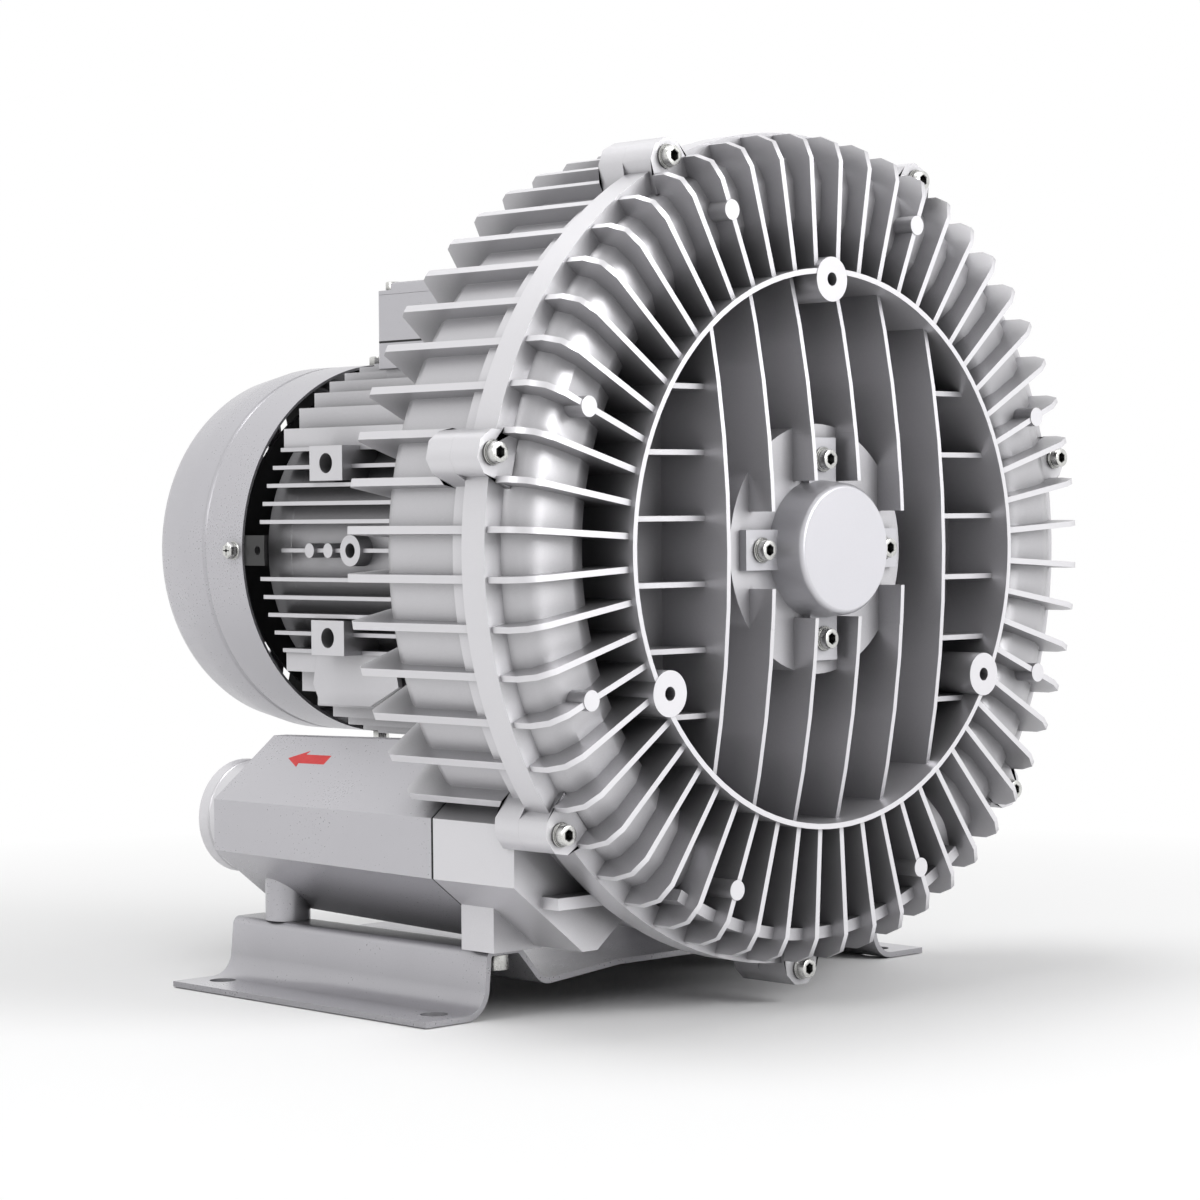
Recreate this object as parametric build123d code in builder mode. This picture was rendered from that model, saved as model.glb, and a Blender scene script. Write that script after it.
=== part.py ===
# Side channel blower with a built-on motor: two finned aluminium castings close
# round a vaned impeller, the motor hangs behind them, and two silencers lie under
# the motor on a bent steel foot.
# Millimetres. The shaft runs along Y, the front of the blower faces -Y, +Z is up,
# and the origin is on the floor in the middle of the foot's bolt pattern.

import os
from math import cos, radians, sin, sqrt
from build123d import *

os.makedirs("parts", exist_ok=True)

# ---------------------------------------------------------------- places
# A depth is a distance behind the front plane of the cover's fins.
axis_height = 231.0
front_y = -202.0

origin_on_axis = (0, front_y, axis_height)
shaft_axis = Axis(origin_on_axis, (0, 1, 0))
# Local x is the radius and local y the depth, for profiles that turn about the shaft.
profile_plane = Plane(origin=origin_on_axis, x_dir=(1, 0, 0), z_dir=(0, 0, 1))


def across(depth):
    """Plane square to the shaft: local x is +X, local y is +Z, and it faces the front."""
    return Plane(origin=(0, front_y + depth, axis_height), x_dir=(1, 0, 0), z_dir=(0, -1, 0))


def radial(angle):
    """Plane through the shaft: local x is the radius at this angle, local y the depth."""
    c = cos(radians(angle))
    s = sin(radians(angle))
    return Plane(origin=origin_on_axis, x_dir=(c, 0, s), z_dir=(-s, 0, c))


def upright(x):
    """Plane along the shaft at this X: local x is the height over the axis, local y the depth."""
    return Plane(origin=(x, front_y, axis_height), x_dir=(0, 0, 1), z_dir=(-1, 0, 0))


def level(z):
    """Plane at this height over the axis: local x is +X, local y the depth."""
    return Plane(origin=(0, front_y, axis_height + z), x_dir=(1, 0, 0), z_dir=(0, 0, 1))


def around(radius, angle):
    """Local x and y, on a plane square to the shaft, of a point at this radius and angle."""
    return (radius * cos(radians(angle)), radius * sin(radians(angle)))


def finish(part, name):
    """Label a finished piece and write it."""
    part.label = name
    export_step(part, "parts/" + name + ".step")


# ---------------------------------------------------------------- general clearances
seat_fit = 0.05
bolt_gap = 0.4
run_gap = 1.0

# ---------------------------------------------------------------- blower castings
parting_depth = 41.0
flange_front = 25.0
flange_radius = 210.0
cover_back = 43.5
floor_depth = 38.0
outer_floor_depth = 36.0

rim_radius = 139.2
rim_wall = 2.7
rim_front = -2.4

fin_count = 56
fin_start = 22.5
fin_thick = 3.0
fin_front = 0.5
fin_corner = 13.0
fin_outer = 208.5

crown_radius = 176.0
crown_half = 25.0
crown_front = 12.0
crown_corner = 16.0
crown_from = 235.0
crown_sweep = 287.0

channel_radius = 174.5
channel_half = 17.5
channel_wall = 6.0
channel_corner = 11.0

chamber_radius = 194.6
chamber_back = 84.5
barrel_radius = 200.0
barrel_back = 112.0
barrel_corner = 10.0
housing_flange_radius = 205.0
housing_flange_back = 53.0
inner_plate_back = 92.0
rear_fin_thick = 4.0
rear_fin_outer = 208.0
rear_fin_back = 131.0
rear_fin_inner = 128.0
port_side_from = 218.0
port_side_to = 322.0
motor_ring_inner = 80.0
motor_ring_outer = 106.0

pad_count = 8
pad_radius = 179.5
pad_size = 10.0

boss_angles = (90.0, 210.0, 330.0)
boss_radius = 135.0
boss_size = 22.5
boss_front = -2.8
boss_tap = 6.8
boss_tap_deep = 22.0

rib_pitch = 32.0
rib_thick = 2.6
rib_bulge = -7.0
rib_end = 10.0
side_rib_front = 8.0

tie_radius = 191.0
tie_thick = 6.0
tie_front = 9.0

cord_radius = 200.0
cord_wide = 3.2
cord_deep = 2.4

# ---------------------------------------------------------------- flange bolts
bolt_count = 7
bolt_start = 270.0
bolt_circle = 212.9
lug_front = 21.5
lug_back = 58.0
lug_outer = 224.0
lug_half = 14.0
lug_corner = 8.0
m6_head = 10.0
m6_head_high = 6.0
m6_shank = 6.0
m6_key = 5.0
flange_bolt_long = 30.0

# ---------------------------------------------------------------- hub and bearings
hub_boss_radius = 63.0
hub_boss_front = 9.0
cap_front = -11.4
cap_front_radius = 32.9
cap_base_radius = 35.0
cap_edge = 2.5
ear_reach = 56.0
ear_wide = 20.0
ear_front = 4.5
hub_screw_circle = 45.0
hub_screw_long = 16.0

bearing_bore = 15.0
bearing_outer = 31.0
bearing_wide = 16.0
bearing_race = 3.2
ball_count = 9
ball_size = 9.4
front_bearing_depth = 12.0
rear_bearing_depth = 316.0

seal_wide = 8.0
front_seal_depth = 31.0
front_seal_outer = 26.0
rear_seal_depth = 90.0
rear_seal_outer = 32.5

# ---------------------------------------------------------------- shaft line
nut_seat_radius = 17.5
impeller_seat_radius = 19.0
collar_radius = 22.0
core_seat_radius = 25.0
fan_seat_radius = 12.5
impeller_nut_depth = 46.5
impeller_step = 60.0
collar_depth = 82.0
core_step = 118.0
core_end = 292.0
shaft_front = 11.0
shaft_end = 401.0
key_wide = 10.0
key_high = 8.0
key_long = 20.0

impeller_radius = 193.6
impeller_inner = 157.0
impeller_ring = 150.0
impeller_web = 8.0
impeller_hub = 34.0
blade_count = 40
blade_thick = 3.0
blade_corner = 5.0
nut_radius = 25.0
nut_thick = 10.0

# ---------------------------------------------------------------- motor
frame_radius = 90.0
frame_bore = 80.0
frame_front = 124.0
frame_back = 320.0
frame_flange = 104.0
frame_flange_thick = 10.0
motor_fin_thick = 2.2
motor_fin_tip = 103.0
top_fin_tip = 107.0
motor_fin_front = 148.0
motor_fin_back = 333.0
side_fin_first = 15.8
side_fin_pitch = 10.0
side_fins = 5
top_fin_first = 17.0
top_fin_pitch = 11.0
top_fins = 7
motor_screw_circle = 97.0
m8_head = 13.0
m8_head_high = 8.0
m8_shank = 8.0
motor_screw_long = 24.0

side_pad_height = 47.5
side_pad_tall = 19.0
side_pad_long = 28.0
side_pad_depth = 278.0
side_pad_face = 99.0
side_pad_hole = 11.0
hole_boss_depth = 258.0
hole_boss_size = 17.0
hole_boss_bore = 8.0
knob_depths = (277.0, 293.0)
knob_size = 8.0
rail_x = 83.0
rail_thick = 3.0

stator_inner = 52.0
stator_front = 160.0
stator_back = 284.0
slot_count = 24
slot_wide = 6.0
slot_from = 54.0
slot_to = 70.0
winding_reach = 22.0
air_gap = 0.6
rotor_ring_reach = 8.0

shield_back = 341.0
shield_plate = 8.0
shield_register = 6.0
shield_skirt_wall = 10.0
shield_hub = 40.0
shield_lip = 21.0
shield_screw_circle = 85.0
shield_screw_long = 35.0
m5_head = 8.5
m5_head_high = 5.0
m5_shank = 5.0
m5_key = 4.0
spring_thick = 2.0

# ---------------------------------------------------------------- fan and cowl
cowl_radius = 106.0
cowl_rear_radius = 102.0
cowl_front = 344.0
cowl_back = 428.5
cowl_sheet = 1.5
cowl_groove_depth = 375.0
cowl_groove_wide = 6.0
cowl_groove_in = 2.0
cowl_corner = 6.0
grille_slots = 24
grille_from = 34.0
grille_to = 90.0
grille_slot = 6.0
clip_half_angle = 4.6
clip_sheet = 2.0
clip_front = 326.0
clip_back = 362.0
cowl_screw_depth = 352.0
fan_front = 362.0
fan_back = 398.0
fan_radius = 97.0
fan_blades = 8
fan_hub = 20.0
circlip_thick = 1.5

# ---------------------------------------------------------------- terminal box
box_wide = 100.0
box_from = 195.0
box_to = 293.0
box_floor = 100.0
box_base_top = 114.5
box_body_top = 141.0
box_lid_top = 147.5
box_wall = 3.0
box_notch = 13.0
box_screw_in = 7.0
gland_height = 129.75
gland_thread = 16.0
gland_bore = 9.0
gland_hex = 19.0
gasket_thick = 1.0
lead_hole = 16.0
stud_size = 4.0
stud_pitch = 16.0
block_wide = 46.0
block_long = 24.0
lid_screw_long = 14.0
box_screw_x = 64.0
box_screw_y = 66.0
box_screw_deep = 9.0
box_screw_long = 26.0

# ---------------------------------------------------------------- silencers
port_x = 118.0
port_z = -145.5
port_radius = 26.0
silencer_front = 113.5
silencer_back = 296.0
silencer_front_half = 50.0
silencer_back_half = 45.5
silencer_wall = 4.0
silencer_end_wall = 10.0
spigot_radius = 31.0
spigot_collar = 34.0
spigot_collar_wide = 7.0
spigot_end = 330.0
spigot_mark = 320.0
port_gasket_thick = 1.5

# ---------------------------------------------------------------- foot
foot_sheet = 3.0
foot_half = 185.0
foot_from = 99.0
foot_to = 305.0
hump_out = 143.0
hump_in = 123.0
hump_top = 34.0
hump_screw_x = 133.0
valley_x = 107.0
valley_height = 16.0
middle_height = 21.0
foot_low_bend = 14.0
foot_top_bend = 3.0
foot_hole_x = 165.0
foot_hole_front = 116.0
foot_hole_back = 288.0
foot_hole = 14.0
leg_from = 88.0
leg_to = 112.0
leg_out = 150.0
leg_in = 118.0
leg_top = -166.0
leg_brace = 6.0
foot_screw_front = 105.5
foot_screw_back = 272.0
foot_screw_long = 20.0
silencer_lug = 24.0

fin_angles = [fin_start + 360 / fin_count * i for i in range(fin_count)]


# ---------------------------------------------------------------- fasteners
# Round screws are drawn with a few flat sides, which keeps the many small solids light.
head_sides = 10
shank_sides = 6


def easing(corner, reach, turn):
    """Three points that ease a profile's corner, from straight along y to straight along x."""
    x, y = corner
    cut = 0.293 * reach
    return [(x, y + turn[1] * reach), (x + turn[0] * cut, y + turn[1] * cut), (x + turn[0] * reach, y)]


def socket_screw(head, head_high, shank, long, key):
    """Socket head screw: the head stands on z = 0 and the shank runs down."""
    with BuildPart() as screw:
        with BuildSketch(Plane.XY):
            RegularPolygon(head / 2, head_sides)
        extrude(amount=head_high)
        with BuildSketch(Plane.XY.offset(head_high)):
            RegularPolygon(key / 2, 6, major_radius=False)
        extrude(amount=-0.55 * head_high, mode=Mode.SUBTRACT)
        with BuildSketch(Plane.XY):
            RegularPolygon(shank / 2, shank_sides)
        extrude(amount=-long)
    return screw.part


def flange_screw(flange, flange_high, across_flats, head_high, shank, long):
    """Hexagon flange screw with a cross recess: it stands on z = 0 and runs down."""
    with BuildPart() as screw:
        with BuildSketch(Plane.XY):
            RegularPolygon(flange / 2, head_sides)
        extrude(amount=flange_high)
        with BuildSketch(Plane.XY.offset(flange_high)):
            RegularPolygon(across_flats / 2, 6, major_radius=False)
        extrude(amount=head_high - flange_high)
        with BuildSketch(Plane.XY.offset(head_high)):
            Rectangle(0.6 * across_flats, 1.0)
            Rectangle(1.0, 0.6 * across_flats)
        extrude(amount=-0.5 * head_high, mode=Mode.SUBTRACT)
        with BuildSketch(Plane.XY):
            RegularPolygon(shank / 2, shank_sides)
        extrude(amount=-long)
    return screw.part


# ---------------------------------------------------------------- front cover
rim_out = rim_radius + rim_wall / 2
rim_in = rim_radius - rim_wall / 2
crown_out = crown_radius + crown_half
crown_in = crown_radius - crown_half
flange_inner = crown_out - 2
spigot_fit_radius = chamber_radius - seat_fit
bearing_shoulder = front_bearing_depth + bearing_wide

with BuildSketch() as cover_fin:
    with BuildLine():
        Polyline(
            (rim_radius, fin_front),
            *reversed(easing((fin_outer, fin_front), fin_corner, (-1, 1))),
            (fin_outer, flange_front + 1),
            (crown_out, outer_floor_depth + 1),
            (rim_radius, outer_floor_depth + 1),
            close=True,
        )
    make_face()

crown_floor = outer_floor_depth + 1
with BuildSketch() as crown_outline:
    with BuildLine():
        Polyline(
            (crown_half, crown_floor),
            *easing((crown_half, crown_front), crown_corner, (-1, 1)),
            *reversed(easing((-crown_half, crown_front), crown_corner, (1, 1))),
            (-crown_half, crown_floor),
            close=True,
        )
    make_face()

with BuildSketch() as cover_channel:
    with BuildLine():
        Polyline(
            (channel_half, cover_back + 1),
            *easing((channel_half, crown_front + channel_wall), channel_corner, (-1, 1)),
            *reversed(easing((-channel_half, crown_front + channel_wall), channel_corner, (1, 1))),
            (-channel_half, cover_back + 1),
            close=True,
        )
    make_face()

with BuildSketch() as bolt_lug:
    with BuildLine():
        Polyline(
            (spigot_fit_radius + 4, -lug_half),
            (lug_outer - lug_corner, -lug_half),
            (lug_outer, lug_corner - lug_half),
            (lug_outer, lug_half - lug_corner),
            (lug_outer - lug_corner, lug_half),
            (spigot_fit_radius + 4, lug_half),
            close=True,
        )
    make_face()

with BuildSketch() as cap_outline:
    Circle(cap_base_radius)
    Rectangle(2 * ear_reach, ear_wide)
    Rectangle(ear_wide, 2 * ear_reach)

rib_swell = ((boss_radius) ** 2 + (rib_end - rib_bulge) ** 2) / (2 * (rib_end - rib_bulge))


def rib_edge(reach):
    """Depth of a rib's bowed front edge at this distance from the middle."""
    return rib_bulge + rib_swell - sqrt(rib_swell ** 2 - reach ** 2)


bow_steps = 5
bow_heights = [rim_radius * i / bow_steps for i in range(-bow_steps, bow_steps + 1)]
bow = [(height, rib_edge(height)) for height in bow_heights]

with BuildPart() as recess_ribs:
    with BuildSketch(across(floor_depth + 1)):
        for i in range(6):
            with Locations((rib_pitch * (i - 2.5), 0)):
                Rectangle(rib_thick, 2 * rim_radius)
        Circle(rim_radius, mode=Mode.INTERSECT)
        Circle(hub_boss_radius - rib_thick, mode=Mode.SUBTRACT)
    extrude(amount=floor_depth + 1 - rib_bulge)
    # short level ribs at the sides
    with BuildSketch(across(floor_depth + 1)):
        for i in range(6):
            with Locations((0, rib_pitch * (i - 2.5))):
                Rectangle(2 * rim_radius, rib_thick)
        Circle(rim_radius, mode=Mode.INTERSECT)
        Rectangle(5 * rib_pitch, 2 * rim_radius, mode=Mode.SUBTRACT)
    extrude(amount=floor_depth + 1 - side_rib_front)
    # all of them end in one bowed front
    with BuildSketch(upright(0)):
        with BuildLine():
            Polyline(
                (rim_radius, floor_depth + 1),
                (-rim_radius, floor_depth + 1),
                *bow,
                close=True,
            )
        make_face()
    extrude(amount=rim_radius, both=True, mode=Mode.INTERSECT)


with BuildPart() as front_cover:
    # plate with the hub boss, the rim ring and the flange
    with BuildSketch(radial(fin_start)):
        with BuildLine():
            Polyline(
                (front_seal_outer, cover_back),
                (front_seal_outer, bearing_shoulder),
                (bearing_outer, bearing_shoulder),
                (bearing_outer, hub_boss_front),
                (hub_boss_radius, hub_boss_front),
                (hub_boss_radius, floor_depth),
                (rim_in, floor_depth),
                (rim_in, rim_front),
                (rim_out, rim_front),
                (rim_out, outer_floor_depth),
                (flange_inner, outer_floor_depth),
                (flange_inner, flange_front),
                (flange_radius, flange_front),
                (flange_radius, parting_depth),
                (spigot_fit_radius, parting_depth),
                (spigot_fit_radius, cover_back),
                close=True,
            )
        make_face()
    revolve(axis=shaft_axis)
    # ribs in the recess
    add(recess_ribs.part)
    # crown over the side channel, rounded off where the ports lie
    with BuildSketch(radial(crown_from)):
        with Locations((crown_radius, 0)):
            add(crown_outline.sketch)
    revolve(axis=shaft_axis, revolution_arc=crown_sweep)
    for end_angle in (crown_from, crown_from - crown_sweep):
        x, z = around(crown_radius, end_angle)
        with BuildSketch(Plane(origin=(x, front_y, axis_height + z), x_dir=(1, 0, 0), z_dir=(0, 0, 1))):
            add(crown_outline.sketch)
            split(bisect_by=Plane.YZ, keep=Keep.TOP)
        revolve(axis=Axis((x, front_y, axis_height + z), (0, 1, 0)))
    # ejector pads on every seventh fin
    with BuildSketch(across(outer_floor_depth + 1)):
        with PolarLocations(pad_radius, pad_count, start_angle=fin_start):
            Circle(pad_size / 2)
    extrude(amount=outer_floor_depth + 1)
    # tie between the fins where there is no crown
    with BuildSketch(radial(crown_from - crown_sweep - 4)):
        with Locations((tie_radius + tie_thick / 2, (tie_front + outer_floor_depth + 1) / 2)):
            Rectangle(tie_thick, outer_floor_depth + 1 - tie_front)
    revolve(axis=shaft_axis, revolution_arc=360 - crown_sweep - 8)
    # bolt lugs
    with BuildSketch(across(parting_depth)):
        with PolarLocations(0, bolt_count, start_angle=bolt_start):
            add(bolt_lug.sketch)
    extrude(amount=parting_depth - lug_front)
    # three tapped bosses on the rim
    with BuildSketch(across(floor_depth + 1)):
        for angle in boss_angles:
            with Locations(around(boss_radius, angle)):
                Circle(boss_size / 2)
    extrude(amount=floor_depth + 1 - boss_front)
    with BuildSketch(across(boss_front)):
        for angle in boss_angles:
            with Locations(around(boss_radius, angle)):
                Circle(boss_tap / 2)
    extrude(amount=-boss_tap_deep, mode=Mode.SUBTRACT)
    # pocket for the cap, and the bolt holes
    with BuildSketch(across(hub_boss_front)):
        offset(cap_outline.sketch, amount=0.5)
    extrude(amount=hub_boss_front - rib_bulge + 5, mode=Mode.SUBTRACT)
    with BuildSketch(across(hub_boss_front)):
        with PolarLocations(hub_screw_circle, 4):
            Circle(m6_shank / 2)
    extrude(amount=-hub_screw_long, mode=Mode.SUBTRACT)
    with BuildSketch(across(parting_depth)):
        with PolarLocations(bolt_circle, bolt_count, start_angle=bolt_start):
            Circle(m6_shank / 2 + bolt_gap)
    extrude(amount=parting_depth - lug_front, mode=Mode.SUBTRACT)
    # radial fins
    for angle in fin_angles:
        with BuildSketch(radial(angle).offset(-fin_thick / 2)):
            add(cover_fin.sketch)
    extrude(amount=fin_thick)
    # side channel, cut from behind
    with BuildSketch(radial(crown_from)):
        with Locations((channel_radius, 0)):
            add(cover_channel.sketch)
    revolve(axis=shaft_axis, revolution_arc=crown_sweep, mode=Mode.SUBTRACT)
finish(front_cover.part, "front_cover")


# ---------------------------------------------------------------- pump housing
rear_fin_angles = [a for a in fin_angles if not port_side_from < a % 360 < port_side_to]
gasket_front = silencer_front - port_gasket_thick

with BuildSketch() as rear_fin:
    with BuildLine():
        Polyline(
            (chamber_radius + 1.5, parting_depth + 8),
            (rear_fin_outer, parting_depth + 8),
            (rear_fin_outer, rear_fin_back - 4),
            (rear_fin_outer - 3, rear_fin_back),
            (crown_radius, rear_fin_back + 5),
            (rear_fin_inner, barrel_back + 4),
            (rear_fin_inner, inner_plate_back - 1),
            (chamber_radius + 1.5, inner_plate_back - 1),
            close=True,
        )
    make_face()


def silencer_outline(half):
    """Rounded eight-sided outline, as the port block and the silencer have it."""
    wide = 0.1 * half
    tall = 0.3 * half
    with BuildSketch() as outline:
        Polygon(
            (-half, -tall), (-wide, -half), (wide, -half), (half, -tall),
            (half, tall), (wide, half), (-wide, half), (-half, tall),
        )
    return outline.sketch


with BuildPart() as pump_housing:
    # flange, barrel, back wall, seal hub and the ring that carries the motor
    with BuildSketch(profile_plane):
        with BuildLine():
            Polyline(
                (collar_radius + 2, parting_depth),
                (housing_flange_radius, parting_depth),
                (housing_flange_radius, housing_flange_back),
                (barrel_radius, housing_flange_back),
                *easing((barrel_radius, barrel_back), barrel_corner, (-1, -1)),
                (crown_in, barrel_back),
                (crown_in, inner_plate_back),
                (motor_ring_outer, inner_plate_back),
                (motor_ring_outer, frame_front),
                (motor_ring_inner, frame_front),
                (motor_ring_inner, inner_plate_back),
                (rear_seal_outer + 8, inner_plate_back),
                (rear_seal_outer + 8, rear_seal_depth + seal_wide + 1),
                (rear_seal_outer, rear_seal_depth + seal_wide + 1),
                (rear_seal_outer, rear_seal_depth),
                (collar_radius + 2, rear_seal_depth),
                close=True,
            )
        make_face()
    revolve(axis=shaft_axis)
    # lugs behind the cover's lugs
    with BuildSketch(across(lug_back)):
        with PolarLocations(0, bolt_count, start_angle=bolt_start):
            add(bolt_lug.sketch)
    extrude(amount=lug_back - parting_depth)
    # port blocks and the legs under them
    with BuildSketch(across(gasket_front)):
        for side in (-1, 1):
            with Locations((side * port_x, port_z)):
                add(silencer_outline(silencer_front_half))
    extrude(amount=gasket_front - housing_flange_back)
    leg_bottom = hump_top - axis_height
    for side in (-1, 1):
        with BuildSketch(across(leg_to)):
            with Locations((side * (leg_out + leg_in) / 2, (leg_top + leg_bottom) / 2)):
                Rectangle(leg_out - leg_in, leg_top - leg_bottom)
        extrude(amount=leg_to - leg_from)
        with BuildSketch(across(leg_to)):
            with Locations((side * (leg_out + leg_in) / 2, leg_top - leg_brace / 2)):
                Rectangle(leg_out - leg_in, leg_brace)
        extrude(amount=leg_to - parting_depth)
    # holes for the motor screws, the flange bolts and the foot screws
    with BuildSketch(across(frame_front)):
        with PolarLocations(motor_screw_circle, 4, start_angle=45):
            Circle(m8_shank / 2)
    extrude(amount=motor_screw_long - frame_flange_thick + 2, mode=Mode.SUBTRACT)
    with BuildSketch(across(parting_depth)):
        with PolarLocations(bolt_circle, bolt_count, start_angle=bolt_start):
            Circle(m6_shank / 2)
    extrude(amount=-(lug_back - parting_depth - 2), mode=Mode.SUBTRACT)
    with BuildSketch(level(leg_bottom)):
        for side in (-1, 1):
            with Locations((side * hump_screw_x, foot_screw_front)):
                Circle(m8_shank / 2)
    extrude(amount=foot_screw_long - foot_sheet + 2, mode=Mode.SUBTRACT)
    # fins along the barrel and over the back
    for angle in rear_fin_angles:
        with BuildSketch(radial(angle).offset(-rear_fin_thick / 2)):
            add(rear_fin.sketch)
    extrude(amount=rear_fin_thick)
    # impeller chamber, side channel, ports and the seal ring's groove
    with BuildSketch(profile_plane):
        with Locations((chamber_radius / 2, (parting_depth + chamber_back) / 2)):
            Rectangle(chamber_radius, chamber_back - parting_depth)
        with Locations((cord_radius, parting_depth + cord_deep / 2)):
            Rectangle(cord_wide, cord_deep)
    revolve(axis=shaft_axis, mode=Mode.SUBTRACT)
    channel_floor = barrel_back - channel_wall
    with BuildSketch(radial(crown_from)):
        with BuildLine():
            Polyline(
                (channel_radius + channel_half, chamber_back - 1),
                *easing((channel_radius + channel_half, channel_floor), channel_corner, (-1, -1)),
                *reversed(easing((channel_radius - channel_half, channel_floor), channel_corner, (1, -1))),
                (channel_radius - channel_half, chamber_back - 1),
                close=True,
            )
        make_face()
    revolve(axis=shaft_axis, revolution_arc=crown_sweep, mode=Mode.SUBTRACT)
    with BuildSketch(across(gasket_front)):
        for side in (-1, 1):
            with Locations((side * port_x, port_z)):
                Circle(port_radius)
    extrude(amount=gasket_front - chamber_back + 1, mode=Mode.SUBTRACT)
finish(pump_housing.part, "pump_housing")

# ---------------------------------------------------------------- seal ring and flange bolts
with BuildPart() as cover_seal:
    with BuildSketch(profile_plane):
        with Locations((cord_radius, parting_depth + cord_deep / 2)):
            Rectangle(cord_wide - 0.4, cord_deep)
    revolve(axis=shaft_axis)
finish(cover_seal.part, "cover_seal")

m6_screw = socket_screw(m6_head, m6_head_high, m6_shank, flange_bolt_long, m6_key)
with BuildPart(across(lug_front)) as flange_bolts:
    with PolarLocations(bolt_circle, bolt_count, start_angle=bolt_start):
        add(m6_screw)
finish(flange_bolts.part, "flange_bolts")

# ---------------------------------------------------------------- bearing cap in the hub
with BuildPart() as hub_cover:
    with BuildSketch(across(hub_boss_front)):
        Rectangle(2 * ear_reach, ear_wide)
        Rectangle(ear_wide, 2 * ear_reach)
    extrude(amount=hub_boss_front - ear_front)
    with BuildSketch(profile_plane):
        with BuildLine():
            Polyline(
                (0, cap_front),
                (cap_front_radius - cap_edge, cap_front),
                (cap_front_radius, cap_front + cap_edge),
                (cap_base_radius, hub_boss_front),
                (bearing_outer - seat_fit, hub_boss_front),
                (bearing_outer - seat_fit, front_bearing_depth),
                (bearing_outer - 5, front_bearing_depth),
                (bearing_outer - 5, cap_front + 5),
                (0, cap_front + 5),
                close=True,
            )
        make_face()
    revolve(axis=shaft_axis)
    with BuildSketch(profile_plane):
        with Locations(((bearing_outer - 5) / 2, (cap_front + 5 + hub_boss_front) / 2)):
            Rectangle(bearing_outer - 5, hub_boss_front - cap_front - 5)
    revolve(axis=shaft_axis, mode=Mode.SUBTRACT)
    with BuildSketch(across(hub_boss_front)):
        with PolarLocations(hub_screw_circle, 4):
            Circle(m6_shank / 2 + bolt_gap)
    extrude(amount=hub_boss_front - ear_front, mode=Mode.SUBTRACT)
finish(hub_cover.part, "hub_cover")

hub_screw = socket_screw(m6_head, m6_head_high, m6_shank, hub_screw_long, m6_key)
with BuildPart(across(ear_front)) as hub_screws:
    with PolarLocations(hub_screw_circle, 4):
        add(hub_screw)
finish(hub_screws.part, "hub_screws")


# ---------------------------------------------------------------- bearings and shaft seals
ball_circle = (bearing_bore + bearing_outer) / 2


# A ball out of flat faces: two eight-sided frustums, base to base.
with BuildPart() as bearing_ball:
    for way in (-1, 1):
        with BuildSketch(Plane.XY):
            RegularPolygon(ball_size / 2, 8)
        with BuildSketch(Plane.XY.offset(way * ball_size * 0.4)):
            RegularPolygon(ball_size * 0.25, 8)
        loft()


def bearing_ring(inner, outer, depth):
    """One race of a ball bearing."""
    with BuildPart() as ring:
        with BuildSketch(profile_plane):
            with Locations(((inner + outer) / 2, depth + bearing_wide / 2)):
                Rectangle(outer - inner, bearing_wide)
        revolve(axis=shaft_axis)
    return ring.part


def bearing_balls(depth):
    """The ring of balls between the races."""
    with BuildPart(across(depth + bearing_wide / 2)) as balls:
        with PolarLocations(ball_circle, ball_count):
            add(bearing_ball.part)
    return balls.part


def shaft_seal(journal, outer, depth):
    """Lip seal: a rubber ring with a lip that leans on the shaft."""
    with BuildPart() as seal:
        with BuildSketch(profile_plane):
            with BuildLine():
                Polyline(
                    (outer, depth),
                    (outer, depth + seal_wide),
                    (journal + 3, depth + seal_wide),
                    (journal + 3, depth + 4),
                    (journal + seat_fit, depth + 3),
                    (journal + seat_fit, depth + 1.5),
                    (journal + 3, depth),
                    close=True,
                )
            make_face()
        revolve(axis=shaft_axis)
    return seal.part


for place, depth in (("front", front_bearing_depth), ("rear", rear_bearing_depth)):
    finish(bearing_ring(bearing_outer - bearing_race, bearing_outer, depth), place + "_bearing_outer")
    finish(bearing_ring(bearing_bore, bearing_bore + bearing_race, depth), place + "_bearing_inner")
    finish(bearing_balls(depth), place + "_bearing_balls")
finish(shaft_seal(nut_seat_radius, front_seal_outer, front_seal_depth), "front_shaft_seal")
finish(shaft_seal(collar_radius, rear_seal_outer, rear_seal_depth), "rear_shaft_seal")

# ---------------------------------------------------------------- shaft, impeller, key and nut
impeller_front = cover_back + run_gap
impeller_back = chamber_back - run_gap
impeller_middle = (impeller_front + impeller_back) / 2
nut_end = impeller_nut_depth + nut_thick
key_depth = (impeller_step + collar_depth) / 2
key_floor = impeller_seat_radius - key_high / 2
rear_bearing_end = rear_bearing_depth + bearing_wide

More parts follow.
